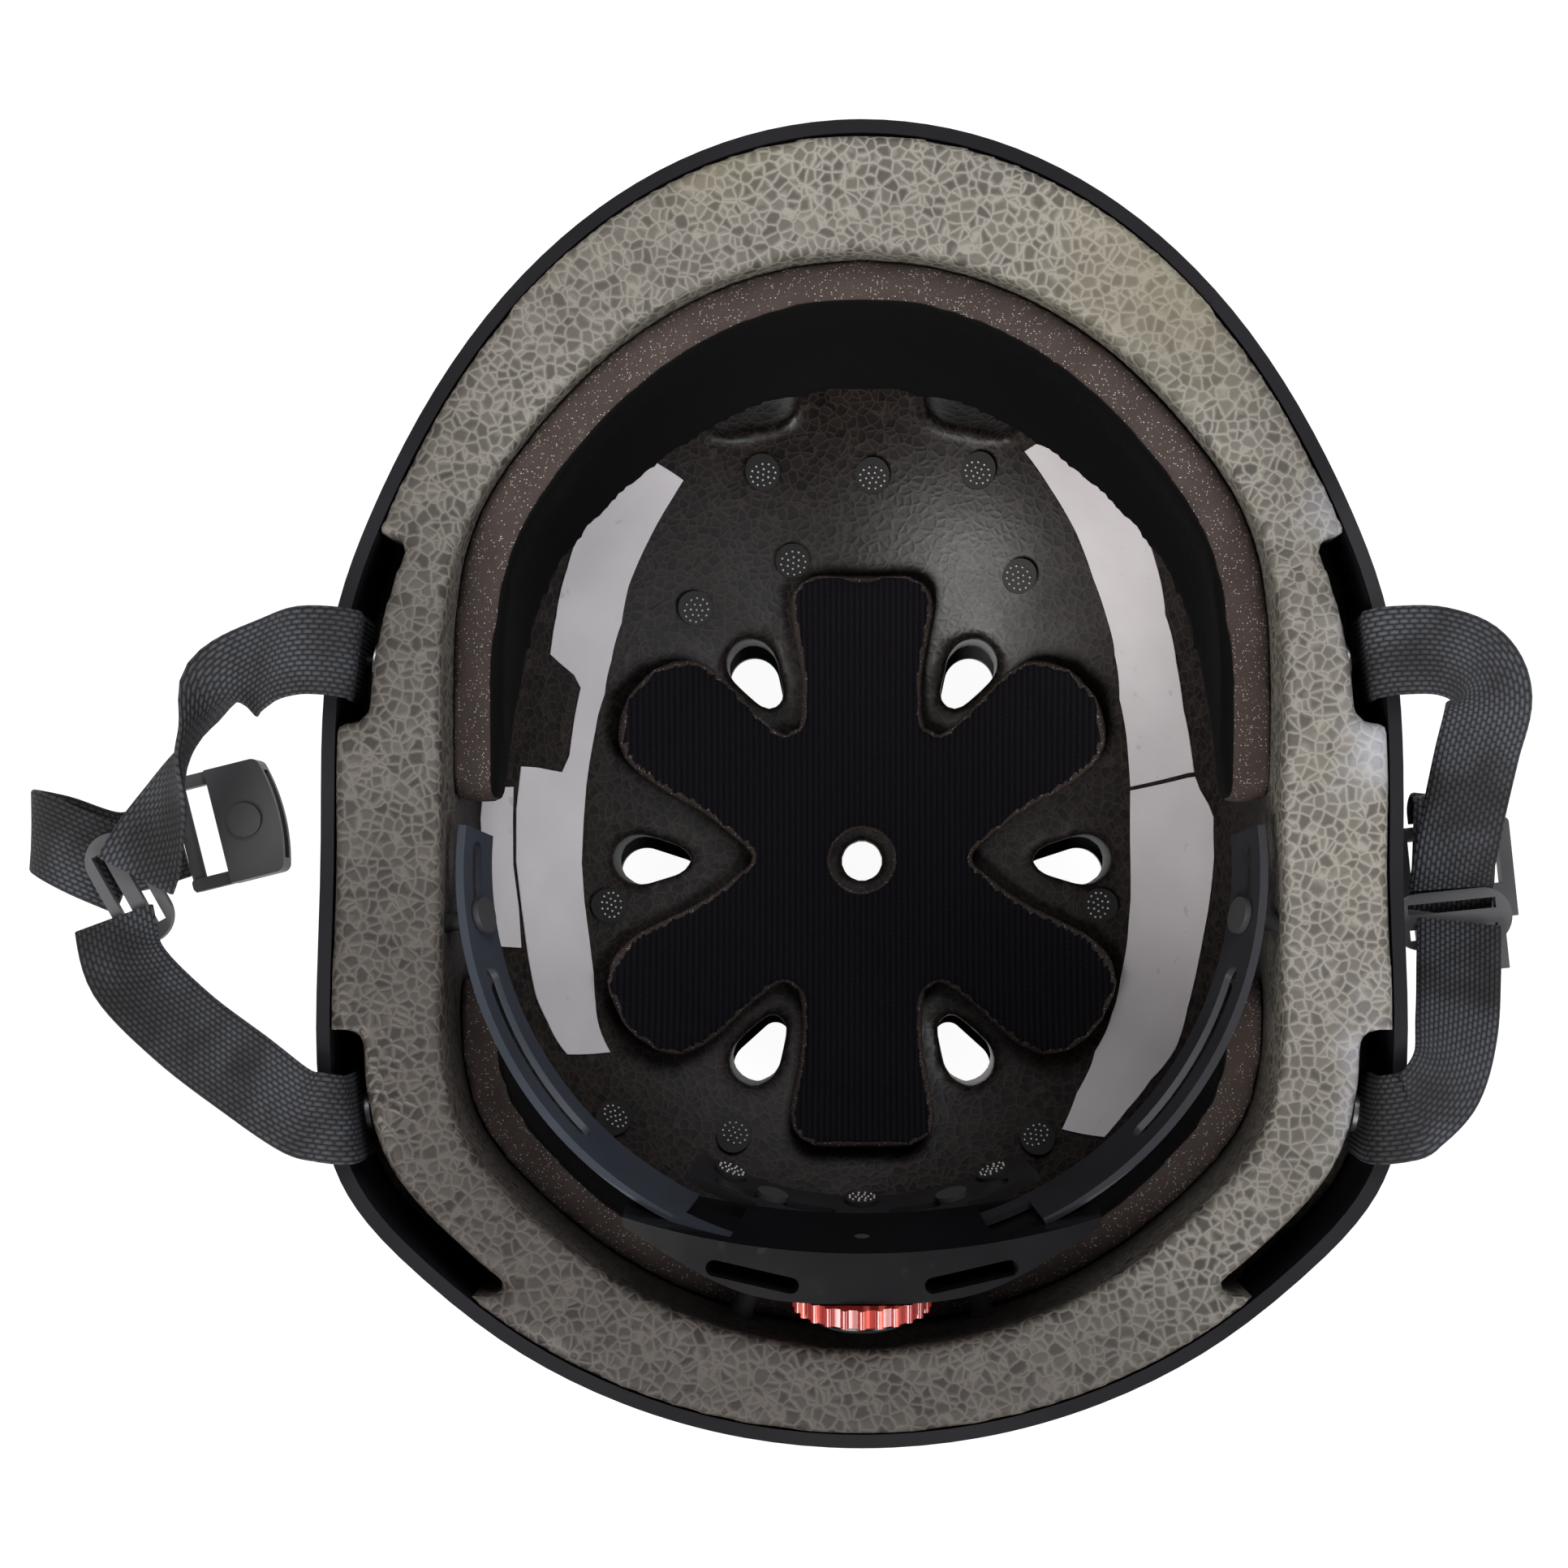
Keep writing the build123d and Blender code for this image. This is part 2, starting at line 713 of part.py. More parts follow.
def pinion_outline():
    """Tooth flanks from the root circle to the tip, all round."""
    base = pitch_radius * cos(radians(pressure))
    start = radians(pressure)
    half = (pitch / 2 - tooth_backlash / 2) / (2 * pitch_radius) + tan(start) - start
    flank = [(pinion_root, half)]
    for step in range(flank_steps + 1):
        radius = base + (pinion_tip - base) * step / flank_steps
        press = acos(base / radius)
        flank.append((radius, half - tan(press) + press))
    points = []
    for tooth in range(teeth):
        middle = pi / 2 + 2 * pi * tooth / teeth
        points += [(r * cos(middle - a), r * sin(middle - a)) for r, a in flank]
        points += [(r * cos(middle + a), r * sin(middle + a)) for r, a in reversed(flank)]
    return points


def slot_between(near, far, half):
    """Rounded slot from one point to another."""
    run = Vector(far[0] - near[0], far[1] - near[1])
    with BuildSketch(mode=Mode.PRIVATE) as shape:
        with Locations(((near[0] + far[0]) / 2, (near[1] + far[1]) / 2)):
            SlotCenterToCenter(run.length, 2 * half, rotation=degrees(atan2(run.Y, run.X)))
    return shape.sketch


with BuildPart() as dial_housing:
    add(crescent(housing_bottom, housing_top))
    with BuildSketch(dial):
        Circle(boss_radius)
    extrude(amount=boss_face)
    add(strip(-channel_turn, channel_turn, -channel_open, channel_height, channel_half),
        mode=Mode.SUBTRACT)
    with BuildSketch(across_plane(housing_bottom)):
        for side in (-1, 1):
            add(slot_between((side * slot_near[0], -slot_near[1]),
                             (side * slot_far[0], -slot_far[1]), housing_slot_half))
    extrude(amount=housing_top - housing_bottom, mode=Mode.SUBTRACT)
    with BuildSketch(dial):
        Circle(spindle_radius + running_gap)
    extrude(amount=boss_face, mode=Mode.SUBTRACT)
    with BuildSketch(dial):
        Circle(stub_radius + running_gap)
    extrude(amount=-2 * housing_inner, mode=Mode.SUBTRACT)
    with BuildSketch(dial):
        with Locations((click_near + click_leaf + click_stem - click_root, 0)):
            Rectangle(2 * click_root + small_gap, 2 * click_stem_half + small_gap)
    extrude(amount=click_root_depth + small_gap, mode=Mode.SUBTRACT)
    with BuildSketch(across_plane(housing_bottom)):
        with Locations((-screw_x, screw_y), (screw_x, screw_y)):
            Circle(screw_radius + small_gap)
    extrude(amount=screw_length, mode=Mode.SUBTRACT)

with BuildPart() as housing_cover:
    add(crescent(housing_bottom - cover_thick, housing_bottom))
    with BuildSketch(across_plane(housing_bottom)):
        with Locations((-screw_x, screw_y), (screw_x, screw_y)):
            Circle(screw_radius + small_gap)
    extrude(amount=-cover_thick, mode=Mode.SUBTRACT)

with BuildPart() as cover_screws:
    with BuildSketch(across_plane(housing_bottom - cover_thick)):
        with Locations((-screw_x, screw_y), (screw_x, screw_y)):
            Circle(screw_radius)
    extrude(amount=screw_length)
    with BuildSketch(across_plane(housing_bottom - cover_thick)):
        with Locations((-screw_x, screw_y), (screw_x, screw_y)):
            Circle(screw_head)
    extrude(amount=-screw_head_height)

with BuildPart() as dial_pinion:
    with BuildSketch(dial.offset(-pinion_half)):
        with BuildLine():
            Polyline(*pinion_outline(), close=True)
        make_face()
    extrude(amount=2 * pinion_half)
    with BuildSketch(dial):
        Circle(spindle_radius)
    extrude(amount=dial_foot)
    with BuildSketch(dial):
        Circle(stub_radius)
    extrude(amount=-housing_inner + small_gap)
    with BuildSketch(dial.offset(dial_foot)):
        Circle(flange_radius)
    extrude(amount=flange_thick)

with BuildPart() as click_spring:
    with BuildSketch(dial.offset(-pinion_half)):
        with Locations((click_near + click_leaf / 2, 0)):
            Rectangle(click_leaf, 2 * click_half)
        with Locations((click_near + click_leaf + click_stem / 2, 0)):
            Rectangle(click_stem, 2 * click_stem_half)
    extrude(amount=2 * pinion_half - small_gap)
    with BuildSketch(dial):
        with Locations((click_near + click_leaf + click_stem - click_root, 0)):
            Rectangle(2 * click_root, 2 * click_stem_half)
    extrude(amount=click_root_depth)

with BuildPart() as dial_lens:
    with BuildSketch(dial.offset(dial_foot)):
        Circle(lens_radius)
        with PolarLocations(lens_radius, rib_count):
            Circle(rib_radius)
        Circle(lens_bore, mode=Mode.SUBTRACT)
    extrude(amount=lens_thick)

cell_foot = dial_foot + flange_thick + board_gap
board_foot = cell_foot + cell_thick + board_gap
spring_foot = board_foot + board_thick + board_gap
cap_foot = spring_foot + spring_room

with BuildPart() as coin_cell:
    with BuildSketch(dial.offset(cell_foot)):
        Circle(cell_radius)
    extrude(amount=cell_thick)

with BuildPart() as light_board:
    with BuildSketch(dial.offset(board_foot)):
        Circle(board_radius)
    extrude(amount=board_thick)

with BuildPart() as button_spring:
    with BuildSketch(dial.offset(spring_foot)):
        Circle(spring_radius)
        Circle(spring_radius - 2 * spring_wire, mode=Mode.SUBTRACT)
    extrude(amount=2 * spring_wire)

with BuildPart() as light_button:
    with BuildSketch(dial.offset(cap_foot - cap_skirt_height)):
        Circle(cap_radius)
        Circle(cap_radius - cap_skirt, mode=Mode.SUBTRACT)
    extrude(amount=cap_skirt_height)
    with BuildSketch(dial.offset(cap_foot)):
        Circle(cap_radius)
    extrude(amount=cap_thick)
    fillet(light_button.faces().sort_by(Axis(dial.origin, dial.z_dir))[-1].edges(),
           cap_thick / 2)

# cradle under the dial
with BuildPart() as cradle_plate:
    add(strip(-cradle_turn, cradle_turn, cradle_bottom, cradle_top, cradle_half_thick))
    for turns in riser_turns:
        add(strip(*turns, cradle_top, housing_bottom - cover_thick - small_gap / 2,
                  cradle_half_thick))
    for turns in cradle_windows:
        add(slot_cutter(*turns, cradle_window_half, cradle_window_rise), mode=Mode.SUBTRACT)
    for plane in stud_planes:
        with BuildSketch(plane):
            Circle(stud_radius + small_gap)
        extrude(amount=-cut_length / 5, mode=Mode.SUBTRACT)

with BuildPart() as cradle_studs:
    for plane in stud_planes:
        inner = plane.offset(-2 * cradle_half_thick - small_gap)
        with BuildSketch(inner):
            Circle(stud_radius)
        extrude(amount=stud_length)
        with BuildSketch(inner):
            Circle(stud_radius + cradle_half_thick)
        extrude(amount=-stud_head_height)

with BuildPart() as cradle_dots:
    for turn in cradle_dot_turns:
        inner = ring_plane(turn, cradle_dot_rise, -cradle_half_thick - small_gap)
        with BuildSketch(inner):
            Circle(cradle_dot_radius)
        extrude(amount=-dot_thick)

# strap tabs riveted into the notches
with BuildPart() as strap_tabs:
    for plane in strap_planes(tab_inset, (tab_floor + tab_top) / 2):
        with BuildSketch(plane):
            Rectangle(strap_width, tab_top - tab_floor)
        extrude(amount=strap_thick / 2, both=True)
    for plane in strap_planes(tab_inset, rivet_level):
        with BuildSketch(plane):
            Circle(rivet_radius + rivet_hole_gap)
        extrude(amount=strap_thick, both=True, mode=Mode.SUBTRACT)

tab_back = tab_inset + strap_thick / 2 + small_gap
with BuildPart() as rivet_washers:
    for plane in strap_planes(tab_back, rivet_level):
        with BuildSketch(plane):
            Circle(washer_radius)
            Circle(rivet_radius + rivet_hole_gap, mode=Mode.SUBTRACT)
        extrude(amount=-washer_thick)

with BuildPart() as strap_rivets:
    for plane in rivet_seats:
        with BuildSketch(plane):
            Circle(rivet_head)
        extrude(amount=rivet_head_height, taper=rivet_taper)
        with BuildSketch(plane):
            Circle(rivet_radius)
        extrude(amount=-(tab_back + washer_thick + small_gap - wall_level_inset))
        with BuildSketch(plane.offset(-(tab_back + washer_thick + small_gap - wall_level_inset))):
            Circle(rivet_tail)
        extrude(amount=-small_gap * 5)


def divider(side, place_shares):
    """Flat slider with two webbing slots."""
    place, along = place_shares
    plane = Plane(beside(side, place), x_dir=(side * along[0], along[1], along[2]),
                  z_dir=(0, 0, 1))
    with BuildPart() as body:
        with BuildSketch(plane.offset(-divider_half)):
            SlotOverall(divider_length, divider_width)
            with Locations((0, divider_slot_shift), (0, -divider_slot_shift)):
                Rectangle(divider_slot_length, divider_slot, mode=Mode.SUBTRACT)
        extrude(amount=2 * divider_half)
    return body.part


# webbing
with BuildPart() as left_front_strap:
    add(webbing(-1, left_front_shares))
with BuildPart() as left_rear_strap:
    add(webbing(-1, left_rear_shares))
with BuildPart() as left_chin_strap:
    add(webbing(-1, left_chin_shares))
with BuildPart() as right_front_strap:
    add(webbing(1, right_front_shares))
with BuildPart() as right_rear_strap:
    add(webbing(1, right_rear_shares))
with BuildPart() as right_chin_loop:
    add(webbing(1, right_chin_shares))
with BuildPart() as left_divider:
    add(divider(-1, left_divider_shares))
with BuildPart() as right_divider:
    add(divider(1, right_divider_shares))

# buckle halves, each turning on its round webbing bar
female_plane = Plane(beside(-1, female_place_shares),
                     x_dir=(cos(radians(female_turn)), sin(radians(female_turn)), 0),
                     z_dir=(0, 0, 1))
male_plane = Plane(beside(1, male_place_shares),
                   x_dir=(cos(radians(male_turn)), sin(radians(male_turn)), 0),
                   z_dir=(0, 0, 1))
arm_shift = (buckle_width - frame_wall) / 2
socket_start = bar_radius + socket_slot
socket_end = socket_start + socket_length
body_start = bar_radius + tongue_slot
tongue_end = body_start + shoulder_length + tongue_length


def bar_and_arms(plane, length):
    """Round webbing bar with the two arms of the frame."""
    with BuildPart() as body:
        with BuildSketch(Plane(plane.origin - plane.y_dir * buckle_width / 2,
                               x_dir=plane.x_dir, z_dir=plane.y_dir)):
            Circle(bar_radius)
        extrude(amount=buckle_width)
        with BuildSketch(plane.offset(-frame_height / 2)):
            with Locations((length / 2, arm_shift), (length / 2, -arm_shift)):
                RectangleRounded(length + 2 * bar_radius, frame_wall, frame_wall / 3)
        extrude(amount=frame_height)
    return body.part


with BuildPart() as female_buckle:
    add(bar_and_arms(female_plane, socket_start))
    with BuildSketch(female_plane.offset(-socket_height / 2)):
        with BuildLine():
            Polyline((socket_end, buckle_width / 2), (socket_start, buckle_width / 2),
                     (socket_start, -buckle_width / 2), (socket_end, -buckle_width / 2))
            ThreePointArc((socket_end, -buckle_width / 2), (socket_end + socket_bulge, 0),
                          (socket_end, buckle_width / 2))
        make_face()
    extrude(amount=socket_height)
    fillet(female_buckle.edges().filter_by(Axis.Z).sort_by_distance(female_plane.origin)[-2:],
           socket_bulge)
    mouth_middle = socket_end + socket_bulge - socket_depth / 2
    with BuildSketch(female_plane.offset(-socket_mouth_height / 2)):
        with Locations((mouth_middle, 0)):
            Rectangle(socket_depth, socket_mouth_width)
    extrude(amount=socket_mouth_height, mode=Mode.SUBTRACT)
    with BuildSketch(female_plane):
        with Locations((button_from, 0)):
            Circle(button_radius + button_gap)
    extrude(amount=socket_height, mode=Mode.SUBTRACT)

with BuildPart() as release_button:
    with BuildSketch(female_plane.offset(socket_mouth_height / 2)):
        with Locations((button_from, 0)):
            Circle(button_radius)
    extrude(amount=(socket_height - socket_mouth_height) / 2 + button_rise)

with BuildPart() as male_buckle:
    add(bar_and_arms(male_plane, body_start))
    with BuildSketch(male_plane.offset(-frame_height / 2)):
        with Locations((body_start + shoulder_length / 2, 0)):
            Rectangle(shoulder_length, buckle_width)
        with Locations((tongue_end - tongue_length / 2 - small_gap, 0)):
            Rectangle(tongue_length + 2 * small_gap, tongue_width)
        with Locations((tongue_end - catch_length, 0)):
            RectangleRounded(catch_length, catch_width, catch_length / 4, mode=Mode.SUBTRACT)
    extrude(amount=frame_height)

nodes = {
    "outer_shell": outer_shell, "foam_liner": foam_liner, "brow_pad": brow_pad,
    "rear_pad": rear_pad, "crown_pad": crown_pad, "hook_dots": hook_dots,
    "left_band": left_band, "right_band": right_band, "band_pins": band_pins,
    "dial_housing": dial_housing, "housing_cover": housing_cover,
    "cover_screws": cover_screws, "dial_pinion": dial_pinion, "click_spring": click_spring,
    "dial_lens": dial_lens, "coin_cell": coin_cell, "light_board": light_board,
    "button_spring": button_spring, "light_button": light_button,
    "cradle_plate": cradle_plate, "cradle_studs": cradle_studs, "cradle_dots": cradle_dots,
    "strap_tabs": strap_tabs, "rivet_washers": rivet_washers, "strap_rivets": strap_rivets,
    "left_front_strap": left_front_strap, "left_rear_strap": left_rear_strap,
    "left_chin_strap": left_chin_strap, "left_divider": left_divider,
    "right_front_strap": right_front_strap, "right_rear_strap": right_rear_strap,
    "right_chin_loop": right_chin_loop, "right_divider": right_divider,
    "female_buckle": female_buckle, "release_button": release_button,
    "male_buckle": male_buckle,
}
os.makedirs("parts", exist_ok=True)
for name, body in nodes.items():
    body.part.label = name
    export_step(body.part, "parts/" + name + ".step")
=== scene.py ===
import bpy
import math
from mathutils import Matrix, Vector
from mathutils.bvhtree import BVHTree


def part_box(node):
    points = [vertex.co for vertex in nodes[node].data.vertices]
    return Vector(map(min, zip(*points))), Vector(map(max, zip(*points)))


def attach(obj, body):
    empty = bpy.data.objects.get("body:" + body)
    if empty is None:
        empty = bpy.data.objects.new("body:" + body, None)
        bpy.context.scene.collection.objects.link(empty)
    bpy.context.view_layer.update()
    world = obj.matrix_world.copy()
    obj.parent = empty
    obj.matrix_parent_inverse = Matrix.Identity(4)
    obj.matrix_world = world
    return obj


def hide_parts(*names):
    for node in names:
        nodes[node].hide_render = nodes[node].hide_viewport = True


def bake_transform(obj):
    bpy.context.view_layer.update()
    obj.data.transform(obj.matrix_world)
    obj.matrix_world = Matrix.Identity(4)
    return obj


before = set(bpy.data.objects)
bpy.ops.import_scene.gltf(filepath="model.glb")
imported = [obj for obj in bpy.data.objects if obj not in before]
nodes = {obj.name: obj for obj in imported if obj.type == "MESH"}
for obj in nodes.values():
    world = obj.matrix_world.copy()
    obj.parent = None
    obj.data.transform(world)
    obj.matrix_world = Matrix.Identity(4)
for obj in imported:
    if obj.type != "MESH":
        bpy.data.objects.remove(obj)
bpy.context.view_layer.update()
mm = 0.001
INWARD_FROM = Vector((0, 0, 0.125))
MERGE_WITHIN = 0.00001
BEAD_VOXEL, CROWN_VOXEL = 0.0019, 0.0016
BROW_SWELL, CROWN_SWELL = 0.0005, 0.0007
STRIP_THICKNESS, STRIP_PROUD, STRIP_STEPS, STRIP_ROWS = 0.00022, 0.0004, 8, 14
STRAP_STEPS, STRAP_AHEAD = 7, 0.05
HOOK_RADIUS, HOOK_LIFT, RING_TWIST = 0.00031, 0.0002, 90
FLOOR_SIZE, LAMP_HEIGHT = 40, 2

# wall of the foam's cavity, in millimetres: half width, reach to the brow and to the rear
HALF, FRONT, REAR = 90.5, 132, 106.4
# shares of the full reach, with the level in millimetres where the wall gets there
LEVELS = ((0.0, 28), (0.077, 28), (0.204, 29.17), (0.377, 32.68), (0.5325, 38.41),
          (0.73, 50.95), (0.8775, 67.74), (0.969, 88.12), (1.0, 113), (0.996, 138),
          (0.984, 163))
ROUND_SHARES = (1.144, 1.156)


def flattened(reach, half_width):
    return reach / (1 + (reach / half_width) ** 40) ** (1 / 40)


def wall(turn, level):
    """Point of the cavity's wall at a turn about the helmet, in degrees, and a level."""
    share = LEVELS[-1][0]
    for (near, low), (far, high) in zip(LEVELS, LEVELS[1:]):
        if low <= level <= high and high > low:
            share = near + (far - near) * (level - low) / (high - low)
            break
    across, ahead = math.cos(math.radians(turn)), math.sin(math.radians(turn))
    reach = HALF * share * ROUND_SHARES[0 if ahead >= 0 else 1] * abs(across)
    x = math.copysign(flattened(reach, HALF * share), across)
    y = (FRONT if ahead >= 0 else REAR) * share * ahead
    return Vector((x, y, level)) * mm


# shader helpers
class Value:
    """An output socket of a shader node that can be used in sums."""

    def __init__(self, tree, socket):
        self.tree, self.socket = tree, socket

    def join(self, target):
        self.tree.links.new(self.socket, target)

    def maths(self, operation, a, b=None):
        node = self.tree.nodes.new("ShaderNodeMath")
        node.operation = operation
        for slot, item in zip(node.inputs, (a, b)):
            if isinstance(item, Value):
                item.join(slot)
            elif item is not None:
                slot.default_value = item
        return Value(self.tree, node.outputs[0])

    def __add__(self, other): return self.maths("ADD", self, other)
    def __radd__(self, other): return self.maths("ADD", other, self)
    def __sub__(self, other): return self.maths("SUBTRACT", self, other)
    def __rsub__(self, other): return self.maths("SUBTRACT", other, self)
    def __mul__(self, other): return self.maths("MULTIPLY", self, other)
    def __pow__(self, other): return self.maths("POWER", self, other)
    def sine(self): return self.maths("SINE", self)
    def absolute(self): return self.maths("ABSOLUTE", self)
    def floor(self): return self.maths("FLOOR", self)

    def ramp(self, low, high):
        """0 below low, 1 above high, smooth between."""
        node = self.tree.nodes.new("ShaderNodeMapRange")
        node.interpolation_type = "SMOOTHSTEP"
        self.join(node.inputs["Value"])
        node.inputs["From Min"].default_value = low
        node.inputs["From Max"].default_value = high
        return Value(self.tree, node.outputs["Result"])


class Finish:
    """A material made of procedural nodes."""

    def __init__(self, name):
        self.material = bpy.data.materials.new(name)
        self.material.use_nodes = True
        self.tree = self.material.node_tree
        self.shader = self.tree.nodes["Principled BSDF"]

    def node(self, kind, settings=None, out=0, **inputs):
        made = self.tree.nodes.new(kind)
        for key, value in (settings or {}).items():
            setattr(made, key, value)
        for key, value in inputs.items():
            self.put(made.inputs[key.replace("_", " ")], value)
        return Value(self.tree, made.outputs[out])

    def put(self, slot, value):
        if isinstance(value, Value):
            value.join(slot)
        else:
            slot.default_value = value

    def place(self):
        return self.node("ShaderNodeTexCoord", out="Object")

    def parts(self, vector):
        made = self.tree.nodes.new("ShaderNodeSeparateXYZ")
        vector.join(made.inputs[0])
        return [Value(self.tree, o) for o in made.outputs]

    def strand(self):
        """Across and along a strap or pad, from its UV map."""
        return self.parts(self.node("ShaderNodeTexCoord", out="UV"))

    def noise(self, scale, detail=3):
        return self.node("ShaderNodeTexNoise", out="Fac", Vector=self.place(),
                         Scale=scale, Detail=detail, Roughness=0.5)

    def cells(self, scale, feature="F1", vector=None, out="Distance"):
        return self.node("ShaderNodeTexVoronoi", {"feature": feature}, out=out,
                         Vector=vector or self.place(), Scale=scale)

    def mix(self, factor, a, b):
        made = self.tree.nodes.new("ShaderNodeMix")
        made.data_type = "RGBA"
        self.put(made.inputs[0], factor)
        for index, colour in ((6, a), (7, b)):
            if isinstance(colour, Value):
                colour.join(made.inputs[index])
            else:
                made.inputs[index].default_value = (*colour, 1)
        return Value(self.tree, made.outputs[2])

    def bump(self, height, distance, strength):
        made = self.tree.nodes.new("ShaderNodeBump")
        made.inputs["Strength"].default_value = strength
        made.inputs["Distance"].default_value = distance
        height.join(made.inputs["Height"])
        return Value(self.tree, made.outputs[0])

    def done(self, colour, roughness=0.5, normal=None, **more):
        self.set("Base Color", colour)
        self.set("Roughness", roughness)
        if normal is not None:
            normal.join(self.shader.inputs["Normal"])
        for key, value in more.items():
            self.set(key.replace("_", " "), value)
        return self.material

    def set(self, key, value):
        slot = self.shader.inputs[key]
        if isinstance(value, Value):
            value.join(slot)
        elif isinstance(value, tuple):
            slot.default_value = (*value, 1)
        else:
            slot.default_value = value


def satin_shell():
    f = Finish("shell_satin")
    grain = f.noise(1400, 2)
    cloud = f.noise(22, 3)
    colour = f.mix(cloud.ramp(0.3, 0.7), (0.0045, 0.004, 0.0052), (0.0085, 0.0075, 0.0098))
    return f.done(colour, 0.4 + cloud * 0.1, f.bump(grain, 0.00003, 0.5),
                  Specular_IOR_Level=0.16)


def hard_plastic(name, dark, light, rough, gloss=0.0):
    f = Finish(name)
    cloud = f.noise(60, 3)
    fine = f.noise(2600, 2)
    wear = f.noise(260, 4).ramp(0.62, 0.75)
    colour = f.mix(cloud, dark, light)
    return f.done(colour, cloud * 0.1 + rough + wear * 0.06, f.bump(fine, 0.00002, 0.6),
                  Specular_IOR_Level=0.14 + gloss * 0.3)


def steel():
    f = Finish("steel_screws")
    brush = f.noise(900, 2)
    return f.done(f.mix(brush, (0.36, 0.36, 0.37), (0.55, 0.55, 0.56)), 0.3 + brush * 0.15,
                  f.bump(brush, 0.00002, 0.5), Metallic=1.0)


def foam_beads():
    f = Finish("foam_beads")
    x, y, z = f.parts(f.place())
    warp = f.node("ShaderNodeVectorMath", {"operation": "MULTIPLY_ADD"})
    made = warp.socket.node
    f.node("ShaderNodeTexNoise", out="Color", Vector=f.place(), Scale=240.0,
           Detail=2.0).join(made.inputs[0])
    made.inputs[1].default_value = (0.0016, 0.0016, 0.0016)
    f.place().join(made.inputs[2])
    edge = f.cells(410, "DISTANCE_TO_EDGE", warp)
    centre = f.cells(410, "F1", warp)
    tint = f.parts(f.cells(410, "F1", warp, out="Color"))[0]
    grit = f.noise(1100, 3)
    cloud = f.noise(14, 3)
    line = 1 - edge.ramp(0.015, 0.085)
    broad = 1 - edge.ramp(0.02, 0.26)
    # painted shade: rim is 1 on the rim's top and 0 deep in the cavity, where the colour below is
    # painted shade
    rim = z.ramp(0.112, 0.150)
    # painted light: the right and front of the foam are lighter and the left and rear darker,
    # standing in for the studio light; the beads and the net each come as a shaded and a lit copy
    painted_light_side = (x * 1.6 + y * 2.0).ramp(-0.27, 0.24)
    painted_shade_beads = f.mix(tint, (0.014, 0.0115, 0.010), (0.042, 0.036, 0.031))
    painted_light_beads = f.mix(tint, (0.060, 0.052, 0.044), (0.125, 0.112, 0.094))
    beads = f.mix(painted_light_side, painted_shade_beads, painted_light_beads)
    net = f.mix(painted_light_side, (0.078, 0.066, 0.058), (0.255, 0.240, 0.205))
    top = f.mix(line * 0.3 + broad * (cloud.ramp(0.25, 0.7) * 0.45 + 0.25), beads, net)
    yellow = f.noise(9, 2).ramp(0.50, 0.70) * y.ramp(0.02, 0.12)
    top = f.mix(yellow * 0.4, top, (0.22, 0.19, 0.12))
    # painted sheen: pale bluish patches on the right side of the rim stand in for glossy
    # reflections
    painted_sheen = f.noise(30, 3).ramp(0.42, 0.62) * x.ramp(0.085, 0.112)
    top = f.mix(painted_sheen * 0.45, top, (0.40, 0.41, 0.47))
    # painted shade: the cavity wall below the rim is nearly black, standing in for the dim light
    # deep inside
    painted_deep_shade = f.mix(tint * 0.35 + line * 0.65, (0.0022, 0.0015, 0.0014), (0.026, 0.018, 0.015))
    colour = f.mix(rim, painted_deep_shade, top)
    height = (edge.ramp(0.0, 0.3) + grit * 0.15 + centre * 0.2) * (rim * 0.8 + 0.2)
    wet = cloud.ramp(0.45, 0.7)
    return f.done(colour, 0.52 - wet * 0.22 + grit * 0.16, f.bump(height, 0.0003, 0.55),
                  Specular_IOR_Level=0.3)


def pad_cover(name, cloth, height, edge):
    """Cloth on the face and bare speckled foam on the cut edges."""
    f = Finish(name)
    face = f.node("ShaderNodeAttribute", {"attribute_name": "face_share"}, out="Fac")
    face = face.ramp(edge - 0.05, edge + 0.05)
    fleck = f.cells(2300, "F1")
    which = f.parts(f.cells(2300, "F1", out="Color"))[1]
    bright = (1 - fleck.ramp(0.2, 0.4)) * which.ramp(0.72, 0.86)
    cloud = f.noise(120, 4)
    pore = f.noise(2600, 2)
    body = f.mix(cloud * 0.6 + pore * 0.4, (0.024, 0.0175, 0.0155), (0.066, 0.050, 0.045))
    foam = f.mix(bright, body, (0.34, 0.31, 0.28))
    woven, relief = cloth(f)
    lift = relief * height * face + (pore + cloud * 0.4) * (1 - face)
    return f.done(f.mix(face, foam, woven), 0.92 - bright * 0.3, f.bump(lift, 0.00012, 0.7),
                  Specular_IOR_Level=0.1)


def corduroy(f):
    x, y, z = f.parts(f.place())
    rib = (x * 4200).sine() * 0.5 + 0.5
    stitch = (y * 5200 + (x * 668).floor() * 2.1).sine() * 0.5 + 0.5
    fuzz = f.noise(1800, 3)
    ridge = rib * (0.7 + stitch * 0.3)
    return (f.mix(ridge * 0.6 + fuzz * 0.25, (0.0010, 0.0009, 0.0013),
                  (0.0098, 0.0085, 0.0125)), ridge + fuzz * 0.3)


def brow_cloth(f):
    fuzz = f.noise(2200, 3)
    fold = f.noise(70, 3)
    return f.mix(fuzz * 0.6 + fold * 0.3, (0.0009, 0.0009, 0.0011), (0.004, 0.0036, 0.004)), fuzz


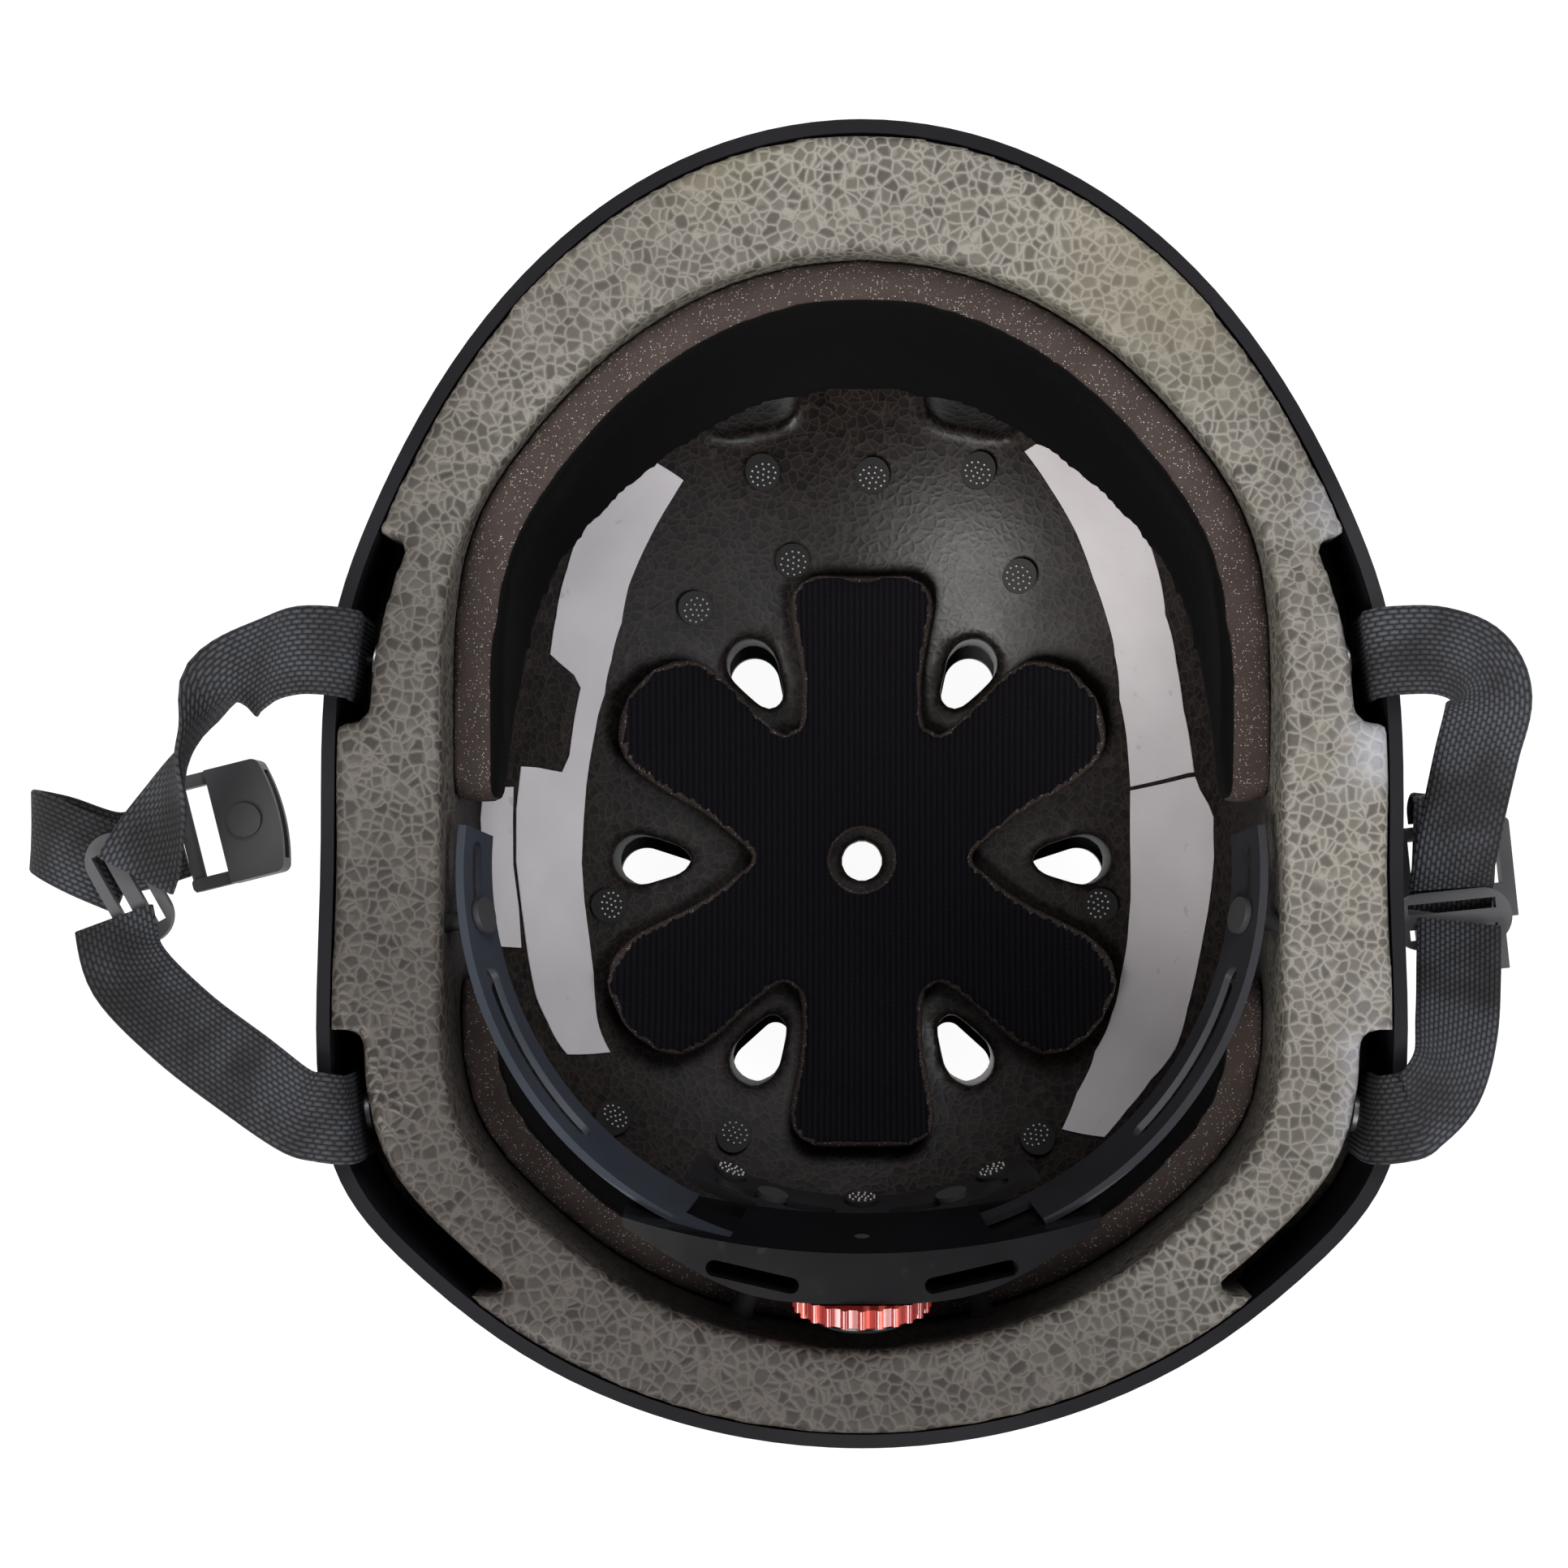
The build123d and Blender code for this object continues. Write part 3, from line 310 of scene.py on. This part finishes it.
def strap_weave():
    """Columns of long bumps along the strap, each column half a bump on."""
    f = Finish("strap_weave")
    across, along = f.strand()[:2]
    column = across * 900
    crown = (column * math.pi).sine().absolute()
    step = along * 480 + column.floor() * 0.5
    bump = ((step * math.pi).sine().absolute() ** 0.8) * (crown ** 0.9)
    fuzz = f.noise(2400, 3)
    cloud = f.noise(45, 3)
    # painted sheen: the bump tops get a lighter bluish grey over the nearly black webbing,
    # standing in for light caught on the weave
    top = f.mix(cloud.ramp(0.35, 0.65), (0.026, 0.025, 0.028), (0.074, 0.077, 0.090))
    colour = f.mix(bump * 0.85 + fuzz * 0.15, (0.0012, 0.0011, 0.0013), top)
    return f.done(colour, 0.55 + fuzz * 0.25, f.bump(bump + fuzz * 0.2, 0.00035, 0.9),
                  Specular_IOR_Level=0.22)


def blank_paper():
    f = Finish("blank_paper")
    cloud = f.noise(55, 4)
    fibre = f.noise(900, 3)
    scuff = f.noise(210, 5).ramp(0.66, 0.74)
    colour = f.mix(cloud, (0.44, 0.41, 0.425), (0.58, 0.55, 0.565))
    colour = f.mix(scuff * 0.35, colour, (0.22, 0.2, 0.2))
    return f.done(colour, 0.42 + cloud * 0.15, f.bump(fibre + cloud, 0.00004, 0.5))


def hook_plastic():
    f = Finish("hook_plastic")
    cloud = f.noise(700, 2)
    # partly painted highlight: the pale grey is partly the hooks' own plastic and partly painted
    # glints on them
    return f.done(f.mix(cloud, (0.30, 0.29, 0.28), (0.62, 0.60, 0.58)), 0.25 + cloud * 0.1)


def lens_red():
    """Clear red lens with an upright flute every 1.7 mm."""
    f = Finish("lens_red")
    x, y, z = f.parts(f.place())
    flute = ((x * 1850).sine() * 0.5 + 0.5)
    # painted highlight: bright red stripes on the flute crests stand in for glints on the lens;
    # the dark red is the lens's own colour
    painted_glint = (x * 370).sine().ramp(-0.2, 0.7)
    cloud = f.noise(300, 3)
    colour = f.mix(flute.ramp(0.35, 0.95) * painted_glint, (0.30, 0.022, 0.018), (0.88, 0.17, 0.12))
    return f.done(colour, 0.12 + cloud * 0.08, f.bump(flute, 0.0002, 0.4), Coat_Weight=0.35,
                  Coat_Roughness=0.05, Transmission_Weight=0.15)


finish = {
    "shell": satin_shell(),
    "housing": hard_plastic("housing_gloss", (0.003, 0.003, 0.0035), (0.007, 0.007, 0.008),
                            0.13, 0.35),
    "cradle": hard_plastic("cradle_satin", (0.011, 0.01, 0.011), (0.022, 0.02, 0.022), 0.38),
    "slate": hard_plastic("band_slate", (0.020, 0.023, 0.030), (0.036, 0.041, 0.052), 0.42),
    "band": hard_plastic("band_black", (0.014, 0.014, 0.017), (0.026, 0.026, 0.03), 0.34),
    "grey": hard_plastic("buckle_grey", (0.06, 0.06, 0.062), (0.085, 0.085, 0.088), 0.42),
    "dark": hard_plastic("pins_dark", (0.03, 0.03, 0.032), (0.05, 0.05, 0.052), 0.4),
    "board": hard_plastic("board_green", (0.01, 0.06, 0.03), (0.02, 0.1, 0.05), 0.4),
    "lens": lens_red(),
    "steel": steel(),
    "beads": foam_beads(),
    "corduroy": pad_cover("pad_corduroy", corduroy, 2.6, 0.80),
    "brow": pad_cover("pad_brow", brow_cloth, 1.0, 0.62),
    "webbing": strap_weave(),
    "paper": blank_paper(),
    "hooks": hook_plastic(),
    "disc": hard_plastic("hook_disc", (0.012, 0.011, 0.011), (0.022, 0.021, 0.021), 0.45),
}
use = {
    "shell": ["outer_shell", "strap_rivets"], "beads": ["foam_liner"],
    "brow": ["brow_pad", "rear_pad"], "corduroy": ["crown_pad"],
    "disc": ["hook_dots", "cradle_dots"],
    "webbing": ["strap_tabs", "left_front_strap", "left_rear_strap", "left_chin_strap",
                "right_front_strap", "right_rear_strap", "right_chin_loop"],
    "slate": ["left_band"], "band": ["right_band"],
    "dark": ["band_pins", "dial_pinion", "cradle_studs"],
    "housing": ["dial_housing", "housing_cover", "light_button"],
    "steel": ["cover_screws", "click_spring", "coin_cell", "button_spring", "rivet_washers"],
    "lens": ["dial_lens"], "board": ["light_board"], "cradle": ["cradle_plate"],
    "grey": ["left_divider", "right_divider", "female_buckle", "release_button",
             "male_buckle"],
}
for name, members in use.items():
    for member in members:
        data = nodes[member].data
        data.materials.clear()
        data.materials.append(finish[name])


# modelling helpers
def alone(item):
    """Leave only this piece selected."""
    bpy.ops.object.select_all(action="DESELECT")
    item.select_set(True)
    bpy.context.view_layer.objects.active = item


def editing(item, work):
    """Work on the whole mesh in edit mode."""
    alone(item)
    bpy.ops.object.mode_set(mode="EDIT")
    bpy.ops.mesh.select_all(action="SELECT")
    work()
    bpy.ops.object.mode_set(mode="OBJECT")


def merge():
    bpy.ops.mesh.remove_doubles(threshold=MERGE_WITHIN)


def close_up():
    bpy.ops.mesh.remove_doubles(threshold=MERGE_WITHIN)
    bpy.ops.mesh.fill_holes(sides=0)
    bpy.ops.mesh.select_all(action="SELECT")
    bpy.ops.mesh.normals_make_consistent(inside=False)


def outward():
    bpy.ops.mesh.normals_make_consistent(inside=False)


def finished_by(item, kind, **settings):
    """Add a modifier with these settings and apply it."""
    made = item.modifiers.new(kind.lower(), kind)
    for key, value in settings.items():
        setattr(made, key, value)
    alone(item)
    bpy.ops.object.modifier_apply(modifier=made.name)


def rounded_copy(node, name, voxel, passes):
    """Copy of a node's solid with evenly spaced points and softened edges."""
    item = bpy.data.objects.new(name, nodes[node].data.copy())
    bpy.context.scene.collection.objects.link(item)
    editing(item, merge)
    finished_by(item, "REMESH", mode="VOXEL", voxel_size=voxel)
    finished_by(item, "SMOOTH", factor=0.5, iterations=passes)
    bpy.ops.object.shade_smooth()
    return item


def surface_of(item):
    data = item.data
    return BVHTree.FromPolygons([v.co for v in data.vertices],
                                [p.vertices for p in data.polygons])


SWELL_PRESSURE, SWELL_FRAMES = 3.0, 12


def swell(item, cap):
    """Let the foam push its cover out by no more than the cap."""
    before = [v.co.copy() for v in item.data.vertices]
    made = item.modifiers.new("swell", "CLOTH")
    made.settings.use_pressure = True
    made.settings.uniform_pressure_force = SWELL_PRESSURE
    made.settings.effector_weights.gravity = 0
    made.point_cache.frame_start = 1
    made.point_cache.frame_end = SWELL_FRAMES
    for frame_number in range(1, SWELL_FRAMES + 1):
        bpy.context.scene.frame_set(frame_number)
    alone(item)
    bpy.ops.object.modifier_apply(modifier=made.name)
    bpy.context.scene.frame_set(1)
    for point, was in zip(item.data.vertices, before):
        move = point.co - was
        if move.length > cap:
            point.co = was + move * (cap / move.length)


# foam liner
liner = rounded_copy("foam_liner", "liner_beads", BEAD_VOXEL, 2)
liner.data.materials.clear()
liner.data.materials.append(finish["beads"])
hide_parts("foam_liner")
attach(liner, "helmet")
liner_wall = surface_of(liner)


# pads: laminated foam with a cloth face, cut edges of bare foam
def mark_face(item):
    """Store how squarely each point faces away from the wall."""
    share = item.data.attributes.new("face_share", "FLOAT", "POINT")
    for point in item.data.vertices:
        spot, facing, index, gap = liner_wall.find_nearest(point.co)
        share.data[point.index].value = point.normal.dot(facing)


def pad(node, name, cover, voxel, cap, shaped=None):
    item = rounded_copy(node, name, voxel, 3)
    if shaped:
        shaped(item)
    swell(item, cap)
    item.data.materials.clear()
    item.data.materials.append(cover)
    mark_face(item)
    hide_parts(node)
    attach(item, "helmet")
    return item


GUIDE_TURNS, GUIDE_ROWS, GUIDE_LOWEST, GUIDE_STEP = 96, 60, 28.05, 1.2


def plain_wall():
    """The cavity's wall without vents, to slide a pad along."""
    turns, levels = GUIDE_TURNS, [GUIDE_LOWEST + k * GUIDE_STEP for k in range(GUIDE_ROWS)]
    points = [wall(360 * k / turns, level) for level in levels for k in range(turns)]
    faces = [(row * turns + k, row * turns + (k + 1) % turns,
              (row + 1) * turns + (k + 1) % turns, (row + 1) * turns + k)
             for row in range(len(levels) - 1) for k in range(turns)]
    faces.append(tuple(range(turns)))
    return BVHTree.FromPolygons(points, faces)


def eased(value, low, high):
    share = max(0.0, min(1.0, (value - low) / (high - low)))
    return share * share * (3 - 2 * share)


# crown pad's arms: their turns, and changes along them, each as where it starts and is
# whole, in millimetres from the pad's middle, and its share
ARM_TURNS = (34, 90, 146, -34, -90, -146)
WAIST, FLARE, UPRIGHT_TIP = (24, 40, -0.13), (42, 70, 0.19), (40, 70, -0.02)
SPREAD, SLANTED_TIP = (34, 64, 0.36), (45, 70, -0.075)
DROP_HEIGHT = 0.2


def change(along, start, whole, share):
    return share * eased(along, start, whole)


def petals(item):
    """Widen the six arms toward rounded ends, sliding the pad along the wall."""
    guide, down = plain_wall(), Vector((0, 0, -1))
    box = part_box("crown_pad")
    middle_x, middle_y = (box[0][0] + box[1][0]) / 2, (box[0][1] + box[1][1]) / 2
    for point in item.data.vertices:
        x, y = (point.co.x - middle_x) / mm, (point.co.y - middle_y) / mm
        reach, turn = math.hypot(x, y), math.degrees(math.atan2(y, x))
        axis = min(ARM_TURNS, key=lambda a: abs((turn - a + 180) % 360 - 180))
        lean = math.radians(turn - axis)
        along, off = reach * math.cos(lean), reach * math.sin(lean)
        if abs(axis) == 90:
            wide = 1 + change(along, *WAIST) + change(along, *FLARE)
            along *= 1 + change(along, *UPRIGHT_TIP)
        else:
            wide = 1 + change(along, *SPREAD)
            along *= 1 + change(along, *SLANTED_TIP)
        off *= wide
        heading = math.radians(axis)
        new_x = (along * math.cos(heading) - off * math.sin(heading)) * mm + middle_x
        new_y = (along * math.sin(heading) + off * math.cos(heading)) * mm + middle_y
        now = guide.ray_cast(Vector((new_x, new_y, DROP_HEIGHT)), down)[0]
        was = guide.ray_cast(Vector((point.co.x, point.co.y, DROP_HEIGHT)), down)[0]
        if now and was:
            point.co += now - was
    item.data.update()


pad("brow_pad", "brow_pad_foam", finish["brow"], BEAD_VOXEL, BROW_SWELL)
pad("rear_pad", "rear_pad_foam", finish["brow"], BEAD_VOXEL, BROW_SWELL)
pad("crown_pad", "crown_pad_foam", finish["corduroy"], CROWN_VOXEL, CROWN_SWELL,
    petals)


# blank strips stuck to the wall: turn and level of the lower and the upper edge
LEFT_STRIP = (((121, 61), (126.5, 75)), ((124, 59.5), (128, 75.5)), ((130, 57), (132, 75)),
              ((137.5, 54), (137.5, 71)), ((142.5, 51), (142.5, 67.5)),
              ((148.5, 50), (148.5, 65)), ((152, 50), (152, 64.5)), ((153.6, 50), (153.6, 64.5)),
              ((154.2, 50), (154.2, 57.5)), ((155.5, 50.3), (155.5, 55.6)),
              ((161, 51.6), (161, 57)), ((166, 53), (166, 58.2)), ((168.6, 53.6), (168.6, 60.2)),
              ((169.4, 53.8), (169.4, 74)), ((174.5, 54.5), (174.5, 76)),
              ((180.5, 55), (180.5, 76)), ((187.5, 54.3), (187.5, 73.6)),
              ((194.5, 53), (194.5, 71)), ((201, 52), (201, 68)), ((207, 52), (206, 65)),
              ((217, 53), (213, 62)))
LEFT_SMALL = (((172, 77.5), (173, 95)), ((176, 77.8), (176, 97)), ((181, 77.6), (181, 95)),
              ((187, 75.2), (186, 91)), ((193, 74), (192, 85)))
RIGHT_FRONT_STRIP = (((63, 64), (56.5, 78)), ((57, 61), (52.5, 76.5)), ((50, 58), (48.5, 75)),
                     ((43.5, 54.6), (43.5, 72)), ((38, 52.5), (38, 68)), ((32, 50.6), (32, 64.6)),
                     ((25, 50), (25, 65)), ((18.5, 51), (18.5, 66.5)), ((10.6, 52), (10.2, 70.5)))
RIGHT_REAR_STRIP = (((10, 52), (9.6, 71)), ((8, 52), (8, 73)), ((6, 52), (6, 77)),
                    ((4.6, 52), (4.6, 79)), ((0, 52), (0, 78.8)), ((-7.5, 52), (-7.5, 76)),
                    ((-14.5, 51.3), (-14.5, 72.4)), ((-23, 50), (-23, 68)),
                    ((-31, 49.4), (-30.5, 66)), ((-39, 50), (-37, 63.8)),
                    ((-47, 53), (-43, 64)), ((-53, 57), (-48.5, 65)))


def blank_strip(name, stations):
    steps = STRIP_STEPS * (len(stations) - 1)
    bpy.ops.object.select_all(action="DESELECT")
    bpy.ops.mesh.primitive_grid_add(x_subdivisions=steps, y_subdivisions=STRIP_ROWS, size=2)
    item = bpy.context.object
    item.name = item.data.name = name
    for point in item.data.vertices:
        place = (point.co.x + 1) / 2 * (len(stations) - 1)
        rise = (point.co.y + 1) / 2
        index = min(int(place), len(stations) - 2)
        (near_low, near_high), (far_low, far_high) = stations[index], stations[index + 1]
        low = Vector(near_low).lerp(Vector(far_low), place - index)
        high = Vector(near_high).lerp(Vector(far_high), place - index)
        turn, level = low.lerp(high, rise)
        spot, facing, part, gap = liner_wall.find_nearest(wall(turn, level))
        point.co = spot + facing * STRIP_PROUD
    finished_by(item, "SOLIDIFY", thickness=STRIP_THICKNESS, offset=0)
    editing(item, outward)
    bpy.ops.object.shade_smooth_by_angle(angle=math.radians(35))
    item.data.materials.append(finish["paper"])
    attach(item, "helmet")


blank_strip("left_blank_strip", LEFT_STRIP)
blank_strip("left_blank_piece", LEFT_SMALL)
blank_strip("right_blank_strip", RIGHT_FRONT_STRIP)
blank_strip("right_blank_piece", RIGHT_REAR_STRIP)


# straps: stations out from the shell's side, along and up, and the direction across
def through(points, place):
    """Smooth curve through the points, one step a point."""
    index = min(int(place), len(points) - 2)
    share = place - index
    a, b, c, d = (points[max(0, min(index + k, len(points) - 1))] for k in (-1, 0, 1, 2))
    return 0.5 * (2 * b + (c - a) * share + (2 * a - 5 * b + 4 * c - d) * share ** 2
                  + (3 * b - a - 3 * c + d) * share ** 3)


SECTION = ([(8.9 - 17.8 * k / 8, 0.75) for k in range(9)]
           + [(-9.4, 0.42), (-9.5, 0), (-9.4, -0.42)]
           + [(-8.9 + 17.8 * k / 8, -0.75) for k in range(9)]
           + [(9.4, -0.42), (9.5, 0), (9.4, 0.42)])


def strap(name, side, stations, replaced, bodies=None, crossing=None):
    places = [Vector((side * (118 + 100 * out), 100 * along, 100 * up)) * mm
              for (out, along, up), across in stations]
    levels = [Vector((side * a, b, c)).normalized() for place, (a, b, c) in stations]
    steps, sides = STRAP_STEPS * (len(stations) - 1), len(SECTION)
    bpy.ops.object.select_all(action="DESELECT")
    bpy.ops.mesh.primitive_grid_add(x_subdivisions=steps, y_subdivisions=sides, size=2)
    item = bpy.context.object
    item.name = item.data.name = name
    frames, run = [], 0.0
    for step in range(steps + 1):
        place = step * (len(stations) - 1) / steps
        here = through(places, place)
        ahead = (through(places, min(place + STRAP_AHEAD, len(stations) - 1))
                 - through(places, max(place - STRAP_AHEAD, 0))).normalized()
        level = through(levels, place)
        level = (level - ahead * level.dot(ahead)).normalized()
        run += (here - frames[-1][0]).length if frames else 0
        frames.append((here, level, ahead.cross(level), run))
    spots = []
    for point in item.data.vertices:
        step = round((point.co.x + 1) / 2 * steps)
        side_index = round((point.co.y + 1) / 2 * sides) % sides
        across, proud = SECTION[side_index]
        here, level, off, run = frames[step]
        point.co = here + level * across * mm + off * proud * mm
        spots.append((across * mm, run))
    for loop in item.data.loops:
        item.data.uv_layers.active.data[loop.index].uv = spots[loop.vertex_index]
    editing(item, close_up)
    bpy.ops.object.shade_smooth_by_angle(angle=math.radians(50))
    item.data.materials.append(finish["webbing"])
    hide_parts(*replaced)
    if crossing:
        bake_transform(item)
    else:
        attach(item, bodies)
    return item


def tab(along, lean):
    """Stations down behind the foam, where the strap is riveted."""
    return [((-0.076, along, 1.27), (lean, 1, 0)), ((-0.08, along, 1.38), (lean, 1, 0)),
            ((-0.086, along, 1.50), (lean, 1, 0))]


LEFT_FRONT = (
    ((-0.091, 0.423, 1.568), (-0.12, 1, 0)), ((-0.04, 0.43, 1.59), (-0.12, 1, 0)),
    ((0.03, 0.43, 1.58), (-0.1, 1, 0)), ((0.11, 0.41, 1.52), (-0.3, 1, 0.2)),
    ((0.21, 0.36, 1.44), (-0.4, 0.7, 0.7)), ((0.29, 0.26, 1.35), (-0.2, 0.3, 1)),
    ((0.37, 0.12, 1.26), (-0.6, 0, 0.7)), ((0.465, -0.045, 1.18), (-1, 0, 0.1)))
LEFT_REAR = (
    ((-0.076, -0.572, 1.568), (0.126, 1, 0)), ((-0.03, -0.565, 1.59), (0.1, 1, 0)),
    ((0.03, -0.55, 1.58), (-0.1, 1, 0)), ((0.15, -0.48, 1.5), (-0.5, 0.85, 0)),
    ((0.32, -0.38, 1.36), (-0.65, 0.75, 0)), ((0.47, -0.26, 1.23), (-0.87, 0.5, 0)),
    ((0.515, -0.145, 1.175), (-0.9, 0.4, 0)))
LEFT_CHIN = (
    ((0.49, -0.045, 1.125), (-0.3, 1, 0)), ((0.6, 0, 1.115), (-0.2, 1, 0)),
    ((0.69, 0.04, 1.075), (-0.1, 1, 0)), ((0.74, 0.06, 1.01), (0, 1, 0)),
    ((0.7, 0.05, 0.955), (0.1, 1, 0)), ((0.56, 0.009, 0.94), (0.2, 1, 0)),
    ((0.415, 0.045, 0.945), (0.25, 1, 0)))
RIGHT_FRONT = (
    ((-0.091, 0.423, 1.568), (-0.12, 1, 0)), ((-0.04, 0.43, 1.59), (-0.12, 1, 0)),
    ((0.06, 0.43, 1.57), (0, 1, 0)), ((0.15, 0.4, 1.5), (0.6, 0.9, 0)),
    ((0.19, 0.33, 1.42), (1, 0.35, 0.3)), ((0.18, 0.22, 1.34), (1, 0.15, 0.1)),
    ((0.165, 0.1, 1.28), (1, 0.1, 0)), ((0.15, -0.015, 1.24), (1, 0.1, 0)),
    ((0.152, -0.07, 1.184), (1, 0.1, 0)))
RIGHT_REAR = (
    ((-0.076, -0.572, 1.568), (0.126, 1, 0)), ((-0.03, -0.565, 1.59), (0.1, 1, 0)),
    ((0.01, -0.55, 1.585), (-0.1, 1, 0)), ((0.08, -0.48, 1.52), (-0.6, 0.8, 0)),
    ((0.12, -0.37, 1.42), (-0.95, 0.35, 0)), ((0.15, -0.25, 1.29), (-1, 0.1, 0)),
    ((0.17, -0.155, 1.195), (-1, 0, 0)))
RIGHT_CHIN = (
    ((0.16, -0.135, 1.13), (1, 0.1, 0)), ((0.17, -0.05, 1.12), (1, 0.1, 0)),
    ((0.18, 0.05, 1.09), (1, 0.1, 0)), ((0.193, 0.13, 1.04), (1, 0.1, 0)),
    ((0.193, 0.14, 0.99), (1, 0.1, 0)), ((0.187, 0.12, 0.967), (1, 0.1, 0)),
    ((0.19, 0.083, 0.965), (1, 0.1, 0)))


for name, side, along, lean, route in (
        ("left_front", -1, 0.423, -0.12, LEFT_FRONT),
        ("left_rear", -1, -0.572, 0.126, LEFT_REAR),
        ("right_front", 1, 0.423, -0.12, RIGHT_FRONT),
        ("right_rear", 1, -0.572, 0.126, RIGHT_REAR)):
    body = "left_strap_set" if side < 0 else "right_strap_set"
    strap(name + "_webbing", side, tab(along, lean) + list(route),
          [name + "_strap", "strap_tabs"], ("helmet", body),
          ((side * 0.1085, along / 10, 0.155), (side * 0.114, along / 10, 0.158)))
strap("left_chin_webbing", -1, LEFT_CHIN, ["left_chin_strap"], "left_strap_set")
strap("right_chin_webbing", 1, RIGHT_CHIN, ["right_chin_loop"], "right_strap_set")


# hooks on the dots
def discs(node):
    """Centre and facing of each separate disc of a node."""
    item = bpy.data.objects.new("disc_guide", nodes[node].data.copy())
    bpy.context.scene.collection.objects.link(item)
    editing(item, merge)
    data = item.data
    group = list(range(len(data.vertices)))

    def root(k):
        while group[k] != k:
            k = group[k]
        return k

    for edge in data.edges:
        group[root(edge.vertices[0])] = root(edge.vertices[1])
    found = {}
    for part in data.polygons:
        found.setdefault(root(part.vertices[0]), []).append((part.center.copy(),
                                                             part.normal.copy(), part.area))
    result = []
    for parts in found.values():
        whole = sum(area for place, facing, area in parts)
        centre = sum((place * area for place, facing, area in parts), Vector()) / whole
        inward = (INWARD_FROM - centre).normalized()
        up = [(place, facing, area) for place, facing, area in parts if facing.dot(inward) > 0.5]
        top = sum(area for place, facing, area in up)
        result.append((sum((place * area for place, facing, area in up), Vector()) / top,
                       sum((facing * area for place, facing, area in up), Vector()).normalized()))
    bpy.data.objects.remove(item)
    return result


def hook_cluster(gap):
    """Nineteen rounded hooks in rings on one dot, on the level ground."""
    made = []
    for count, reach in ((1, 0), (6, gap), (12, 2 * gap)):
        for k in range(count):
            turn = 2 * math.pi * k / count + reach * RING_TWIST
            bpy.ops.object.select_all(action="DESELECT")
            bpy.ops.mesh.primitive_ico_sphere_add(
                subdivisions=1, radius=HOOK_RADIUS,
                location=(reach * math.cos(turn), reach * math.sin(turn), HOOK_LIFT))
            made.append(bpy.context.object)
    for item in made:
        item.select_set(True)
    bpy.ops.object.join()
    cluster = bpy.context.object
    alone(cluster)
    bpy.ops.object.transform_apply(location=True, rotation=True, scale=True)
    return cluster


def hooks(name, node, gap):
    cluster = hook_cluster(gap)
    copies = []
    for centre, facing in discs(node):
        item = bpy.data.objects.new(name, cluster.data.copy())
        bpy.context.scene.collection.objects.link(item)
        turned = facing.to_track_quat("Z", "Y").to_matrix().to_4x4()
        item.data.transform(Matrix.Translation(centre) @ turned)
        copies.append(item)
    bpy.ops.object.select_all(action="DESELECT")
    for item in copies:
        item.select_set(True)
    bpy.context.view_layer.objects.active = copies[0]
    bpy.ops.object.join()
    item = bpy.context.object
    item.name = name
    bpy.ops.object.shade_smooth()
    item.data.materials.append(finish["hooks"])
    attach(item, "helmet")
    bpy.data.objects.remove(cluster)


hooks("wall_hooks", "hook_dots", 0.00155)
hooks("cradle_hooks", "cradle_dots", 0.0014)


# camera, floor and light; the picture spans this width at this distance, in millimetres
PIXELS, SEEN_WIDTH, SEEN_FROM, SENSOR = 1932, 336, 650, 36
EYE = (0, -0.010, 0.805)
SHIFT = (-96, 142)
LAMP_SOFTNESS = 32


def camera():
    data = bpy.data.cameras.new("view")
    eye = bpy.data.objects.new("view", data)
    bpy.context.scene.collection.objects.link(eye)
    eye.location = EYE
    data.sensor_width = SENSOR
    data.lens = SENSOR * SEEN_FROM / SEEN_WIDTH
    data.shift_x = SHIFT[0] / PIXELS
    data.shift_y = SHIFT[1] / PIXELS
    bpy.context.scene.camera = eye


def lamp(name, turn, lean, power, colour):
    """Broad soft light from far off: turn about the helmet and lean from upright."""
    data = bpy.data.lights.new(name, "SUN")
    data.energy, data.color, data.angle = power, colour, math.radians(LAMP_SOFTNESS)
    item = bpy.data.objects.new(name, data)
    bpy.context.scene.collection.objects.link(item)
    item.location = (0, 0, LAMP_HEIGHT)
    item.rotation_euler = (math.radians(lean), 0, math.radians(turn))


def floor():
    bpy.ops.object.select_all(action="DESELECT")
    bpy.ops.mesh.primitive_plane_add(size=FLOOR_SIZE)
    item = bpy.context.object
    item.name = "floor"
    f = Finish("floor_white")
    item.data.materials.append(f.done(f.mix(f.noise(3), (0.14, 0.14, 0.14), (0.17, 0.17, 0.17)),
                                      0.8, Emission_Color=(1.0, 1.0, 1.0),
                                      Emission_Strength=0.95, Specular_IOR_Level=0.0))


def surround():
    """Dim even light, with a plain white backdrop behind the helmet."""
    world = bpy.data.worlds.new("surround")
    bpy.context.scene.world = world
    world.use_nodes = True
    nodes_in, links = world.node_tree.nodes, world.node_tree.links
    path = nodes_in.new("ShaderNodeLightPath")
    blend_in = nodes_in.new("ShaderNodeMix")
    blend_in.inputs[2].default_value = 0.24
    blend_in.inputs[3].default_value = 1.0
    links.new(path.outputs["Is Camera Ray"], blend_in.inputs[0])
    links.new(blend_in.outputs[0], nodes_in["Background"].inputs[1])
    nodes_in["Background"].inputs[0].default_value = (1, 1, 1, 1)
    bpy.context.scene.view_settings.view_transform = "Standard"


camera()
floor()
surround()
lamp("key", -40, 42, 3.3, (1, 0.99, 0.97))
lamp("fill", 65, 46, 2.1, (0.95, 0.97, 1))
lamp("back", 165, 44, 1.4, (0.97, 0.98, 1))
